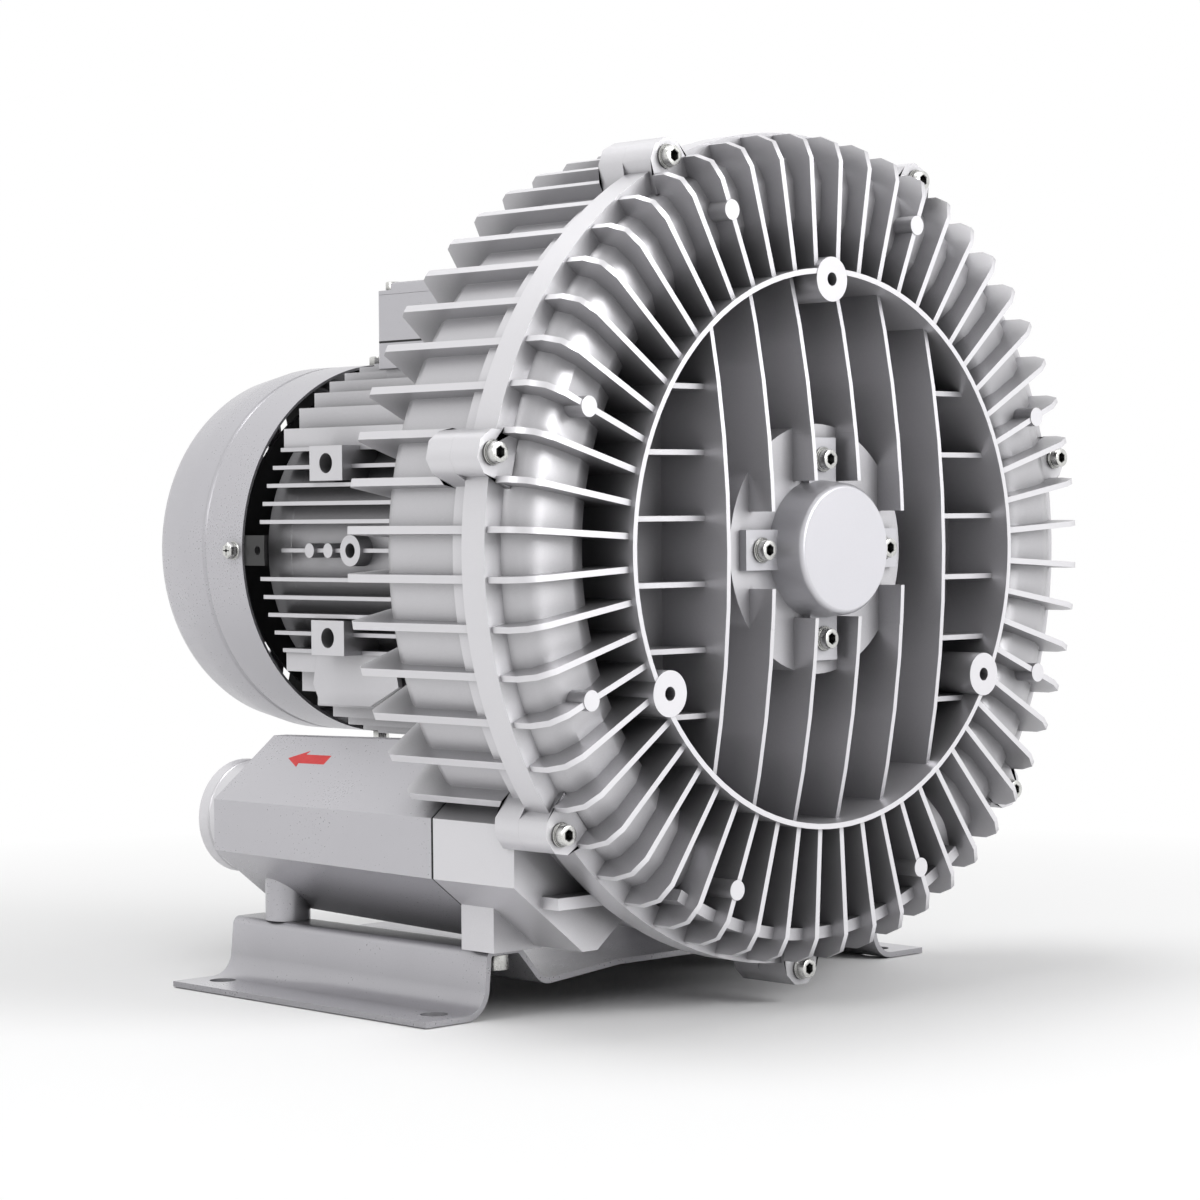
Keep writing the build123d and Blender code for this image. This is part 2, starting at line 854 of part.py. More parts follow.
with BuildPart() as rotor_shaft:
    with BuildSketch(profile_plane):
        with BuildLine():
            Polyline(
                (0, shaft_front),
                (bearing_bore, shaft_front),
                (bearing_bore, bearing_shoulder),
                (nut_seat_radius, bearing_shoulder),
                (nut_seat_radius, impeller_step),
                (impeller_seat_radius, impeller_step),
                (impeller_seat_radius, collar_depth),
                (collar_radius, collar_depth),
                (collar_radius, core_step),
                (core_seat_radius, core_step),
                (core_seat_radius, core_end),
                (bearing_bore + 4, core_end),
                (bearing_bore + 4, rear_bearing_depth),
                (bearing_bore, rear_bearing_depth),
                (bearing_bore, rear_bearing_end + 4),
                (fan_seat_radius, rear_bearing_end + 4),
                (fan_seat_radius, shaft_end),
                (0, shaft_end),
                close=True,
            )
        make_face()
    revolve(axis=shaft_axis)
    with BuildSketch(level(impeller_seat_radius)):
        with Locations((0, key_depth)):
            Rectangle(key_wide, key_long)
    extrude(amount=-key_high / 2, mode=Mode.SUBTRACT)
    with BuildSketch(profile_plane):
        with Locations((fan_seat_radius, fan_back + circlip_thick / 2)):
            Rectangle(2, circlip_thick)
    revolve(axis=shaft_axis, mode=Mode.SUBTRACT)
finish(rotor_shaft.part, "rotor_shaft")

with BuildPart() as impeller_key:
    with BuildSketch(level(key_floor)):
        with Locations((0, key_depth)):
            Rectangle(key_wide, key_long)
    extrude(amount=key_high)
finish(impeller_key.part, "impeller_key")

with BuildPart() as impeller:
    # hub, thin web and the ring that carries the blades
    with BuildSketch(profile_plane):
        with BuildLine():
            Polyline(
                (impeller_seat_radius, impeller_step - 0.5),
                (nut_seat_radius + seat_fit, impeller_step - 0.5),
                (nut_seat_radius + seat_fit, nut_end),
                (nut_radius + 1, nut_end),
                (nut_radius + 1, impeller_front + 1),
                (impeller_hub, impeller_front + 1),
                (impeller_hub, impeller_middle - impeller_web / 2),
                (impeller_ring, impeller_middle - impeller_web / 2),
                (impeller_ring, impeller_front),
                (impeller_inner, impeller_front),
                (impeller_inner, impeller_middle - impeller_web / 4),
                (impeller_radius, impeller_middle - impeller_web / 4),
                (impeller_radius, impeller_middle + impeller_web / 4),
                (impeller_inner, impeller_middle + impeller_web / 4),
                (impeller_inner, impeller_back),
                (impeller_ring, impeller_back),
                (impeller_ring, impeller_middle + impeller_web / 2),
                (impeller_hub, impeller_middle + impeller_web / 2),
                (impeller_hub, collar_depth),
                (impeller_seat_radius, collar_depth),
                close=True,
            )
        make_face()
    revolve(axis=shaft_axis)
    # blades on both sides of the web, their outer corners rounded
    for i in range(blade_count):
        with BuildSketch(radial(360 / blade_count * i).offset(-blade_thick / 2)) as blade:
            with Locations(((impeller_inner - 1 + impeller_radius) / 2, impeller_middle)):
                Rectangle(impeller_radius - impeller_inner + 1, impeller_back - impeller_front)
            chamfer(blade.vertices().group_by(Axis.X)[-1], blade_corner)
    extrude(amount=blade_thick)
    # keyway
    with BuildSketch(across(collar_depth)):
        with Locations((0, impeller_seat_radius)):
            Rectangle(key_wide, key_high)
    extrude(amount=collar_depth - impeller_step + 4, mode=Mode.SUBTRACT)
finish(impeller.part, "impeller")

with BuildPart() as impeller_nut:
    with BuildSketch(across(nut_end)):
        Circle(nut_radius)
        Circle(nut_seat_radius, mode=Mode.SUBTRACT)
        with PolarLocations(nut_radius, 4):
            Rectangle(4, 6, mode=Mode.SUBTRACT)
    extrude(amount=nut_thick)
finish(impeller_nut.part, "impeller_nut")


# ---------------------------------------------------------------- motor frame
box_middle = (box_from + box_to) / 2
top_side_fin = side_fin_first + (side_fins - 1) * side_fin_pitch
fin_root = frame_radius - 4
skirt_clear = frame_radius + 1.5


def motor_fin(distance, tip, lowest=0.0):
    """One straight fin at this distance from the shaft's plane, clear of the end shield."""
    root = max(sqrt(max(fin_root ** 2 - distance ** 2, 0)), lowest)
    clear = max(sqrt(max(skirt_clear ** 2 - distance ** 2, 0)), root + 0.5)
    end = sqrt(tip ** 2 - distance ** 2)
    with BuildSketch() as fin:
        with BuildLine():
            Polyline(
                (root, motor_fin_front),
                (end, motor_fin_front),
                (end, motor_fin_back),
                (clear, motor_fin_back),
                (clear, frame_back),
                (root, frame_back),
                close=True,
            )
        make_face()
    return fin.sketch


with BuildPart() as motor_frame:
    # tube with its front flange
    with BuildSketch(profile_plane):
        with BuildLine():
            Polyline(
                (frame_bore, frame_front),
                (frame_flange, frame_front),
                (frame_flange, frame_front + frame_flange_thick),
                (frame_radius, frame_front + frame_flange_thick),
                (frame_radius, frame_back),
                (frame_bore, frame_back),
                close=True,
            )
        make_face()
    revolve(axis=shaft_axis)
    # level fins at the sides, upright fins above and below
    for i in range(side_fins):
        z = side_fin_first + side_fin_pitch * i
        for plane in (level(z), level(-z)):
            with BuildSketch(plane):
                fin = motor_fin(z, motor_fin_tip)
                add(fin)
                mirror(fin, about=Plane.YZ)
    for i in range(top_fins):
        x = top_fin_first + top_fin_pitch * i
        lowest = top_side_fin if x > sqrt(frame_radius ** 2 - top_side_fin ** 2) - 10 else 0
        for plane in (upright(x), upright(-x)):
            with BuildSketch(plane):
                fin = motor_fin(x, top_fin_tip, lowest)
                add(fin)
                mirror(fin, about=Plane.YZ)
    extrude(amount=motor_fin_thick / 2, both=True)
    # middle ribs at the sides, with their knobs, tapped bosses and drilled pads
    with BuildSketch(level(0)):
        for side in (-1, 1):
            with Locations((side * (fin_root + side_pad_face - 2) / 2, (motor_fin_front + frame_back) / 2)):
                Rectangle(side_pad_face - 2 - fin_root, frame_back - motor_fin_front)
    extrude(amount=motor_fin_thick / 2, both=True)
    for side in (-1, 1):
        with BuildSketch(upright(side * side_pad_face)):
            with Locations((side_pad_height, side_pad_depth), (-side_pad_height, side_pad_depth)):
                Rectangle(side_pad_tall, side_pad_long)
            with Locations((0, hole_boss_depth)):
                Circle(hole_boss_size / 2)
            with Locations([(0, depth) for depth in knob_depths]):
                Circle(knob_size / 2)
        extrude(amount=side * (side_pad_face - fin_root + 12))
        with BuildSketch(upright(side * side_pad_face)):
            with Locations((side_pad_height, side_pad_depth), (-side_pad_height, side_pad_depth)):
                Circle(side_pad_hole / 2)
            with Locations((0, hole_boss_depth)):
                Circle(hole_boss_bore / 2)
        extrude(amount=side * 12, mode=Mode.SUBTRACT)
        # flat rail plate low down
        with BuildSketch(upright(side * rail_x)):
            with BuildLine():
                Polyline(
                    (-top_side_fin, hole_boss_depth - 18),
                    (-top_side_fin, knob_depths[1] + 12),
                    (-top_side_fin - 18, knob_depths[1] + 16),
                    (-top_side_fin - 29, knob_depths[1] + 10),
                    (-top_side_fin - 29, hole_boss_depth + 2),
                    (-top_side_fin - 18, hole_boss_depth - 22),
                    close=True,
                )
            make_face()
        extrude(amount=rail_thick / 2, both=True)
    # seat of the terminal box
    with BuildSketch(level(box_floor)):
        with Locations((0, box_middle)):
            Rectangle(box_wide - 8, box_to - box_from - 8)
    extrude(amount=-(box_floor - frame_bore))
    with BuildSketch(level(box_floor)):
        with Locations((0, box_middle)):
            Rectangle(box_wide + 6, box_to - box_from + 6)
    extrude(amount=top_fin_tip - box_floor + 1, mode=Mode.SUBTRACT)
    with BuildSketch(level(box_floor)):
        with Locations((0, box_middle)):
            Circle(lead_hole / 2)
    extrude(amount=-(box_floor - frame_bore + 4), mode=Mode.SUBTRACT)
    with BuildSketch(level(box_floor)):
        with Locations((0, box_middle)):
            with GridLocations(box_screw_x, box_screw_y, 2, 2):
                Circle(m5_shank / 2)
    extrude(amount=-box_screw_deep, mode=Mode.SUBTRACT)
    # bore, and the screw holes at both ends
    with BuildSketch(across(frame_back)):
        Circle(frame_bore)
    extrude(amount=frame_back - frame_front, mode=Mode.SUBTRACT)
    with BuildSketch(across(frame_front + frame_flange_thick)):
        with PolarLocations(motor_screw_circle, 4, start_angle=45):
            Circle(m8_shank / 2 + bolt_gap)
    extrude(amount=frame_flange_thick, mode=Mode.SUBTRACT)
    with BuildSketch(across(frame_back)):
        with PolarLocations(shield_screw_circle, 4):
            Circle(m5_shank / 2)
    extrude(amount=shield_screw_long - clip_sheet - shield_back + frame_back + 1, mode=Mode.SUBTRACT)
finish(motor_frame.part, "motor_frame")

m8_screw = socket_screw(m8_head, m8_head_high, m8_shank, motor_screw_long, 6)
rear_facing = Plane(origin=origin_on_axis, x_dir=(1, 0, 0), z_dir=(0, 1, 0))
with BuildPart(rear_facing.offset(frame_front + frame_flange_thick)) as motor_screws:
    with PolarLocations(motor_screw_circle, 4, start_angle=45):
        add(m8_screw)
finish(motor_screws.part, "motor_screws")

# ---------------------------------------------------------------- stator, windings and rotor core
with BuildSketch() as slots:
    with PolarLocations((slot_from + slot_to) / 2, slot_count):
        Rectangle(slot_to - slot_from, slot_wide)

with BuildPart() as stator_core:
    with BuildSketch(across(stator_back)):
        Circle(frame_bore)
        Circle(stator_inner, mode=Mode.SUBTRACT)
        add(slots.sketch, mode=Mode.SUBTRACT)
    extrude(amount=stator_back - stator_front)
finish(stator_core.part, "stator_core")

with BuildPart() as stator_windings:
    with BuildSketch(across(stator_back)):
        add(slots.sketch)
    extrude(amount=stator_back - stator_front)
    with BuildSketch(profile_plane) as end_turns:
        for depth in (stator_front - winding_reach / 2, stator_back + winding_reach / 2):
            with Locations(((slot_from + slot_to) / 2, depth)):
                Rectangle(slot_to - slot_from, winding_reach)
        chamfer(end_turns.vertices().group_by(Axis.Y)[0], 4)
        chamfer(end_turns.vertices().group_by(Axis.Y)[-1], 4)
    revolve(axis=shaft_axis)
finish(stator_windings.part, "stator_windings")

with BuildPart() as rotor_core:
    with BuildSketch(profile_plane):
        with BuildLine():
            Polyline(
                (core_seat_radius, stator_front),
                (stator_inner - air_gap - 12, stator_front),
                (stator_inner - air_gap - 12, stator_front - rotor_ring_reach),
                (stator_inner - air_gap - 2, stator_front - rotor_ring_reach),
                (stator_inner - air_gap, stator_front),
                (stator_inner - air_gap, stator_back),
                (stator_inner - air_gap - 2, stator_back + rotor_ring_reach),
                (stator_inner - air_gap - 12, stator_back + rotor_ring_reach),
                (stator_inner - air_gap - 12, stator_back),
                (core_seat_radius, stator_back),
                close=True,
            )
        make_face()
    revolve(axis=shaft_axis)
finish(rotor_core.part, "rotor_core")

# ---------------------------------------------------------------- end shield with its bearing seat
with BuildPart() as rear_end_shield:
    with BuildSketch(profile_plane):
        with BuildLine():
            Polyline(
                (bearing_outer, rear_bearing_depth - 8),
                (shield_hub, rear_bearing_depth - 8),
                (shield_hub, frame_back),
                (frame_bore - 6, frame_back),
                (frame_bore - 6, frame_back - shield_register),
                (frame_bore - seat_fit, frame_back - shield_register),
                (frame_bore - seat_fit, frame_back),
                (frame_radius, frame_back),
                (frame_radius, shield_back),
                (frame_radius - shield_skirt_wall, shield_back),
                (frame_radius - shield_skirt_wall, frame_back + shield_plate),
                (shield_hub, frame_back + shield_plate),
                (shield_hub, rear_bearing_end + spring_thick + 5),
                (shield_lip, rear_bearing_end + spring_thick + 5),
                (shield_lip, rear_bearing_end + spring_thick),
                (bearing_outer, rear_bearing_end + spring_thick),
                close=True,
            )
        make_face()
    revolve(axis=shaft_axis)
    with BuildSketch(across(shield_back)):
        with PolarLocations(shield_screw_circle, 4):
            Circle(m5_shank / 2 + bolt_gap)
    extrude(amount=shield_back - frame_back, mode=Mode.SUBTRACT)
finish(rear_end_shield.part, "rear_end_shield")

shield_screw = socket_screw(m5_head, m5_head_high, m5_shank, shield_screw_long, m5_key)
with BuildPart(rear_facing.offset(shield_back + clip_sheet)) as end_shield_screws:
    with PolarLocations(shield_screw_circle, 4):
        add(shield_screw)
finish(end_shield_screws.part, "end_shield_screws")

with BuildPart() as bearing_spring:
    with BuildSketch(across(rear_bearing_end + spring_thick)):
        Circle(bearing_outer - 0.5)
        Circle(bearing_outer - 5, mode=Mode.SUBTRACT)
    extrude(amount=spring_thick)
finish(bearing_spring.part, "bearing_spring")

# ---------------------------------------------------------------- cooling fan
with BuildPart() as cooling_fan:
    with BuildSketch(profile_plane):
        with BuildLine():
            Polyline(
                (fan_seat_radius, fan_front),
                (fan_radius - 6, fan_front),
                (fan_radius - 6, fan_front + 2.5),
                (fan_hub + 6, fan_front + 2.5),
                (fan_hub, fan_front + 8),
                (fan_hub, fan_back),
                (fan_seat_radius, fan_back),
                close=True,
            )
        make_face()
    revolve(axis=shaft_axis)
    for i in range(fan_blades):
        with BuildSketch(radial(22.5 + 360 / fan_blades * i).offset(-1.25)):
            with BuildLine():
                Polyline(
                    (fan_hub - 1, fan_front + 1),
                    (fan_radius, fan_front + 1),
                    (fan_radius, fan_back - 4),
                    (fan_radius - 25, fan_back),
                    (fan_hub - 1, fan_back - 12),
                    close=True,
                )
            make_face()
    extrude(amount=2.5)
finish(cooling_fan.part, "cooling_fan")

with BuildPart() as fan_circlip:
    with BuildSketch(across(fan_back + circlip_thick)):
        Circle(fan_seat_radius + 3)
        Circle(fan_seat_radius - 1, mode=Mode.SUBTRACT)
        with Locations((fan_seat_radius, 0)):
            Rectangle(12, 5, mode=Mode.SUBTRACT)
    extrude(amount=circlip_thick)
finish(fan_circlip.part, "fan_circlip")

# ---------------------------------------------------------------- fan cowl, brackets and screws
cowl_inner = cowl_radius - cowl_sheet
groove_end = cowl_groove_depth + cowl_groove_wide
groove_middle = cowl_groove_depth + cowl_groove_wide / 2

with BuildPart() as fan_cowl:
    with BuildSketch(profile_plane):
        with BuildLine():
            Polyline(
                (0, cowl_back),
                *reversed(easing((cowl_rear_radius, cowl_back), cowl_corner, (-1, -1))),
                (cowl_radius, groove_end + 18),
                (cowl_radius, groove_end),
                (cowl_radius - cowl_groove_in, groove_middle),
                (cowl_radius, cowl_groove_depth),
                (cowl_radius, cowl_front),
                (cowl_inner, cowl_front),
                (cowl_inner, cowl_groove_depth),
                (cowl_inner - cowl_groove_in, groove_middle),
                (cowl_inner, groove_end),
                (cowl_inner, groove_end + 18),
                *easing(
                    (cowl_rear_radius - cowl_sheet, cowl_back - cowl_sheet), cowl_corner - cowl_sheet, (-1, -1)
                ),
                (0, cowl_back - cowl_sheet),
                close=True,
            )
        make_face()
    revolve(axis=shaft_axis)
    # inlet grille: straight slots round the middle
    with BuildSketch(across(cowl_back)):
        with PolarLocations((grille_from + grille_to) / 2, grille_slots, start_angle=180 / grille_slots):
            Rectangle(grille_to - grille_from, grille_slot)
    extrude(amount=cowl_sheet, mode=Mode.SUBTRACT)
    for plane in (upright(0), level(0)):
        with BuildSketch(plane):
            with Locations((0, cowl_screw_depth)):
                Circle(m5_shank / 2 + bolt_gap)
        extrude(amount=cowl_radius + 1, both=True, mode=Mode.SUBTRACT)
finish(fan_cowl.part, "fan_cowl")

clip_wide = 2 * cowl_inner * sin(radians(clip_half_angle))
with BuildPart() as cowl_brackets:
    with BuildSketch(across(clip_back)):
        Rectangle(2 * cowl_radius, clip_wide)
        Rectangle(clip_wide, 2 * cowl_radius)
        Circle(cowl_inner, mode=Mode.INTERSECT)
        Circle(cowl_inner - clip_sheet, mode=Mode.SUBTRACT)
    extrude(amount=clip_back - clip_front)
    with BuildSketch(across(shield_back + clip_sheet)):
        Rectangle(2 * cowl_radius, clip_wide)
        Rectangle(clip_wide, 2 * cowl_radius)
        Circle(cowl_inner - clip_sheet / 2, mode=Mode.INTERSECT)
        Circle(frame_radius - shield_skirt_wall, mode=Mode.SUBTRACT)
    extrude(amount=clip_sheet)
    with BuildSketch(across(shield_back + clip_sheet)):
        with PolarLocations(shield_screw_circle, 4):
            Circle(m5_shank / 2 + bolt_gap)
    extrude(amount=clip_sheet, mode=Mode.SUBTRACT)
    for plane in (upright(0), level(0)):
        with BuildSketch(plane):
            with Locations((0, cowl_screw_depth), (0, clip_front + 6)):
                Circle(m5_shank / 2)
        extrude(amount=cowl_radius + 1, both=True, mode=Mode.SUBTRACT)
finish(cowl_brackets.part, "cowl_brackets")

cowl_screw = flange_screw(11, 1.4, 8, 5, m5_shank, 10)
with BuildPart() as cowl_screws:
    for angle in (0, 90, 180, 270):
        c = cos(radians(angle))
        s = sin(radians(angle))
        seat = (cowl_radius * c, front_y + cowl_screw_depth, axis_height + cowl_radius * s)
        with Locations(Plane(origin=seat, x_dir=(0, 1, 0), z_dir=(c, 0, s))):
            add(cowl_screw)
finish(cowl_screws.part, "cowl_screws")

# ---------------------------------------------------------------- terminal box
box_long = box_to - box_from
body_floor = box_base_top + gasket_thick

with BuildPart() as terminal_box_base:
    with BuildSketch(level(box_floor)):
        with Locations((0, box_middle)):
            RectangleRounded(box_wide, box_long, 4)
    extrude(amount=box_base_top - box_floor)
    with BuildSketch(level(box_base_top)):
        with Locations((0, box_middle)):
            Rectangle(box_wide - 2 * box_wall - 6, box_long - 2 * box_wall - 6)
            with GridLocations(box_screw_x, box_screw_y, 2, 2):
                Circle(m5_head / 2 + 3, mode=Mode.SUBTRACT)
    extrude(amount=-(box_base_top - box_floor - box_wall), mode=Mode.SUBTRACT)
    with BuildSketch(level(box_floor)):
        with Locations((0, box_middle)):
            Circle(lead_hole / 2)
            with GridLocations(box_screw_x, box_screw_y, 2, 2):
                Circle(m5_shank / 2 + bolt_gap)
    extrude(amount=box_base_top - box_floor, mode=Mode.SUBTRACT)
finish(terminal_box_base.part, "terminal_box_base")

with BuildPart() as terminal_box_gasket:
    with BuildSketch(level(box_base_top)):
        with Locations((0, box_middle)):
            RectangleRounded(box_wide, box_long, 4)
            Rectangle(box_wide - 4 * box_wall, box_long - 4 * box_wall, mode=Mode.SUBTRACT)
    extrude(amount=gasket_thick)
finish(terminal_box_gasket.part, "terminal_box_gasket")

with BuildPart() as terminal_box_body:
    with BuildSketch(level(body_floor)):
        with Locations((0, box_middle)):
            RectangleRounded(box_wide, box_long, 4)
    extrude(amount=box_body_top - body_floor)
    with BuildSketch(level(body_floor + box_wall)):
        with Locations((0, box_middle)):
            Rectangle(box_wide - 2 * box_wall, box_long - 2 * box_wall)
            with GridLocations(box_wide - box_notch, box_long - box_notch, 2, 2):
                Rectangle(box_notch, box_notch, mode=Mode.SUBTRACT)
    extrude(amount=box_body_top - body_floor, mode=Mode.SUBTRACT)
    with BuildSketch(level(body_floor)):
        with Locations((0, box_middle)):
            Circle(lead_hole / 2)
            with GridLocations(box_screw_x, box_screw_y, 2, 2):
                Circle(m5_shank / 2 + bolt_gap)
    extrude(amount=box_wall, mode=Mode.SUBTRACT)
    with BuildSketch(level(box_body_top)):
        with Locations((0, box_middle)):
            with GridLocations(box_wide - 2 * box_screw_in, box_long - 2 * box_screw_in, 2, 2):
                Circle(m5_shank / 2)
    extrude(amount=-lid_screw_long, mode=Mode.SUBTRACT)
    with BuildSketch(upright(box_wide / 2)):
        with Locations((gland_height, box_middle)):
            Circle(gland_thread / 2)
    extrude(amount=box_wall, mode=Mode.SUBTRACT)
finish(terminal_box_body.part, "terminal_box_body")

with BuildPart() as terminal_box_lid:
    with BuildSketch(level(box_body_top)):
        with Locations((0, box_middle)):
            RectangleRounded(box_wide, box_long, 4)
    extrude(amount=box_lid_top - box_body_top)
    chamfer(terminal_box_lid.edges().group_by(Axis.Z)[-1], 1)
    with BuildSketch(level(box_lid_top)):
        with Locations((0, box_middle)):
            with GridLocations(box_wide - box_notch, box_long - box_notch, 2, 2):
                Rectangle(box_notch, box_notch)
    extrude(amount=-(box_lid_top - box_body_top - 2.5), mode=Mode.SUBTRACT)
    with BuildSketch(level(box_body_top)):
        with Locations((0, box_middle)):
            with GridLocations(box_wide - 2 * box_screw_in, box_long - 2 * box_screw_in, 2, 2):
                Circle(m5_shank / 2 + bolt_gap)
    extrude(amount=2.5, mode=Mode.SUBTRACT)
finish(terminal_box_lid.part, "terminal_box_lid")

lid_screw = socket_screw(m5_head, m5_head_high, m5_shank, lid_screw_long, m5_key)
with BuildPart(level(box_body_top + 2.5)) as lid_screws:
    with Locations((0, box_middle)):
        with GridLocations(box_wide - 2 * box_screw_in, box_long - 2 * box_screw_in, 2, 2):
            add(lid_screw)
finish(lid_screws.part, "lid_screws")

box_screw = socket_screw(m5_head, m5_head_high, m5_shank, box_screw_long, m5_key)
with BuildPart(level(body_floor + box_wall)) as box_screws:
    with Locations((0, box_middle)):
        with GridLocations(box_screw_x, box_screw_y, 2, 2):
            add(box_screw)
finish(box_screws.part, "box_screws")

block_middle = box_middle + 22
board_top = body_floor + box_wall + 8
with BuildPart() as terminal_block:
    with BuildSketch(level(body_floor + box_wall)):
        with Locations((0, block_middle)):
            Rectangle(block_wide, block_long)
    extrude(amount=board_top - body_floor - box_wall)
    with BuildSketch(level(board_top)):
        with Locations((-stud_pitch / 2, block_middle), (stud_pitch / 2, block_middle)):
            Rectangle(1.6, block_long)
    extrude(amount=6)
finish(terminal_block.part, "terminal_block")

with BuildPart(level(board_top)) as terminal_studs:
    with Locations((0, block_middle)):
        with GridLocations(stud_pitch, 12, 3, 2):
            Cylinder(stud_size / 2, 10, align=(Align.CENTER, Align.CENTER, Align.MIN))
    with BuildSketch(level(board_top)):
        with Locations((0, block_middle)):
            with GridLocations(stud_pitch, 12, 3, 2):
                RegularPolygon(stud_size, 6)
    extrude(amount=4)
finish(terminal_studs.part, "terminal_studs")

gland_plane = Plane(
    origin=(box_wide / 2, front_y + box_middle, axis_height + gland_height),
    x_dir=(0, 1, 0),
    z_dir=(1, 0, 0),
)
with BuildPart() as cable_gland:
    with BuildSketch(gland_plane):
        RegularPolygon(gland_hex / 2, 6, major_radius=False)
    extrude(amount=6)
    with BuildSketch(gland_plane.offset(6)):
        Circle(gland_hex / 2 - 1)
    extrude(amount=12, taper=8)
    with BuildSketch(gland_plane):
        Circle(gland_thread / 2)
    extrude(amount=-(box_wall + 7))
    with BuildSketch(gland_plane.offset(20)):
        Circle(gland_bore / 2)
    extrude(amount=-40, mode=Mode.SUBTRACT)
finish(cable_gland.part, "cable_gland")

with BuildPart() as gland_locknut:
    with BuildSketch(gland_plane.offset(-box_wall)):
        RegularPolygon(gland_hex / 2, 6, major_radius=False)
        Circle(gland_thread / 2, mode=Mode.SUBTRACT)
    extrude(amount=-4)
finish(gland_locknut.part, "gland_locknut")

# ---------------------------------------------------------------- silencers
cavity_sections = (
    (silencer_front, silencer_front_half - silencer_wall),
    (silencer_back - silencer_end_wall, silencer_back_half - silencer_wall),
)
for name, side in (("outlet", -1), ("inlet", 1)):
    port_axis = Axis((side * port_x, front_y, axis_height + port_z), (0, 1, 0))
    port_profile = Plane(port_axis.position, x_dir=(1, 0, 0), z_dir=(0, 0, 1))
    with BuildPart() as silencer:
        for depth, half in ((silencer_front, silencer_front_half), (silencer_back, silencer_back_half)):
            with BuildSketch(across(depth)):
                with Locations((side * port_x, port_z)):
                    add(silencer_outline(half))
        loft()
        with BuildSketch(level(hump_top - axis_height)):
            with Locations((side * hump_screw_x, foot_screw_back)):
                Circle(silencer_lug / 2)
        extrude(amount=24)
        for depth, half in cavity_sections:
            with BuildSketch(across(depth)):
                with Locations((side * port_x, port_z)):
                    add(silencer_outline(half))
        loft(mode=Mode.SUBTRACT)
        with BuildSketch(across(silencer_back)):
            with Locations((side * port_x, port_z)):
                Circle(spigot_radius)
        extrude(amount=silencer_end_wall, mode=Mode.SUBTRACT)
        with BuildSketch(level(hump_top - axis_height)):
            with Locations((side * hump_screw_x, foot_screw_back)):
                Circle(m8_shank / 2)
        extrude(amount=foot_screw_long - foot_sheet + 1, mode=Mode.SUBTRACT)
    finish(silencer.part, name + "_silencer")
    with BuildPart() as absorber:
        for depth, half in cavity_sections:
            with BuildSketch(across(depth)):
                with Locations((side * port_x, port_z)):
                    add(silencer_outline(half))
        loft()
        with BuildSketch(across(silencer_back - silencer_end_wall)):
            with Locations((side * port_x, port_z)):
                Circle(port_radius)
        extrude(amount=silencer_back - silencer_front, mode=Mode.SUBTRACT)
        with BuildSketch(level(hump_top - axis_height)):
            with Locations((side * hump_screw_x, foot_screw_back)):
                Circle(m8_shank / 2 + 2)
        extrude(amount=foot_screw_long - foot_sheet + 2, mode=Mode.SUBTRACT)
    finish(absorber.part, name + "_absorber")
    with BuildPart() as spigot:
        with BuildSketch(port_profile):
            with BuildLine():
                Polyline(
                    (port_radius, silencer_back - silencer_end_wall),
                    (spigot_radius, silencer_back - silencer_end_wall),
                    (spigot_radius, silencer_back),
                    (spigot_collar, silencer_back),
                    (spigot_collar, silencer_back + spigot_collar_wide),
                    (spigot_radius, silencer_back + spigot_collar_wide + 1),
                    (spigot_radius, spigot_mark - 1),
                    (spigot_radius - 1, spigot_mark),
                    (spigot_radius, spigot_mark + 1),
                    (spigot_radius, spigot_end - 1),
                    (spigot_radius - 1, spigot_end),
                    (port_radius, spigot_end),
                    close=True,
                )
            make_face()
        revolve(axis=port_axis)
    finish(spigot.part, name + "_spigot")
    with BuildPart() as gasket:
        with BuildSketch(across(silencer_front)):
            with Locations((side * port_x, port_z)):
                add(silencer_outline(silencer_front_half - 0.5))
                Circle(port_radius, mode=Mode.SUBTRACT)
        extrude(amount=port_gasket_thick)
    finish(gasket.part, name + "_gasket")

# ---------------------------------------------------------------- foot plate and its screws
foot_plane = Plane(origin=(0, front_y + foot_to, 0), x_dir=(1, 0, 0), z_dir=(0, -1, 0))
sheet_half = foot_sheet / 2
bends = (
    ((foot_half, sheet_half), 0),
    ((hump_out + 3, sheet_half), foot_low_bend),
    ((hump_out, hump_top - sheet_half), foot_top_bend),
    ((hump_in, hump_top - sheet_half), foot_top_bend),
    ((valley_x, valley_height - sheet_half), foot_low_bend - 4),
    ((valley_x / 2, middle_height - sheet_half), foot_low_bend - 4),
    ((0, middle_height - sheet_half), 0),
)
with BuildPart() as foot_plate:
    with BuildSketch(foot_plane):
        with BuildLine() as bent_line:
            Polyline([point for point, bend in bends])
            for point, bend in bends:
                if bend:
                    fillet(bent_line.vertices().sort_by_distance(point)[0], bend)
        trace(line_width=foot_sheet)
        mirror(about=Plane.YZ)
    extrude(amount=foot_to - foot_from)
    with BuildSketch(Plane.XY.offset(middle_height + 20)):
        for side in (-1, 1):
            with Locations(
                (side * foot_hole_x, front_y + foot_hole_front),
                (side * foot_hole_x, front_y + foot_hole_back),
            ):
                Circle(foot_hole / 2)
            with Locations(
                (side * hump_screw_x, front_y + foot_screw_front),
                (side * hump_screw_x, front_y + foot_screw_back),
            ):
                Circle(m8_shank / 2 + bolt_gap)
    extrude(amount=-middle_height - 20, mode=Mode.SUBTRACT)
finish(foot_plate.part, "foot_plate")

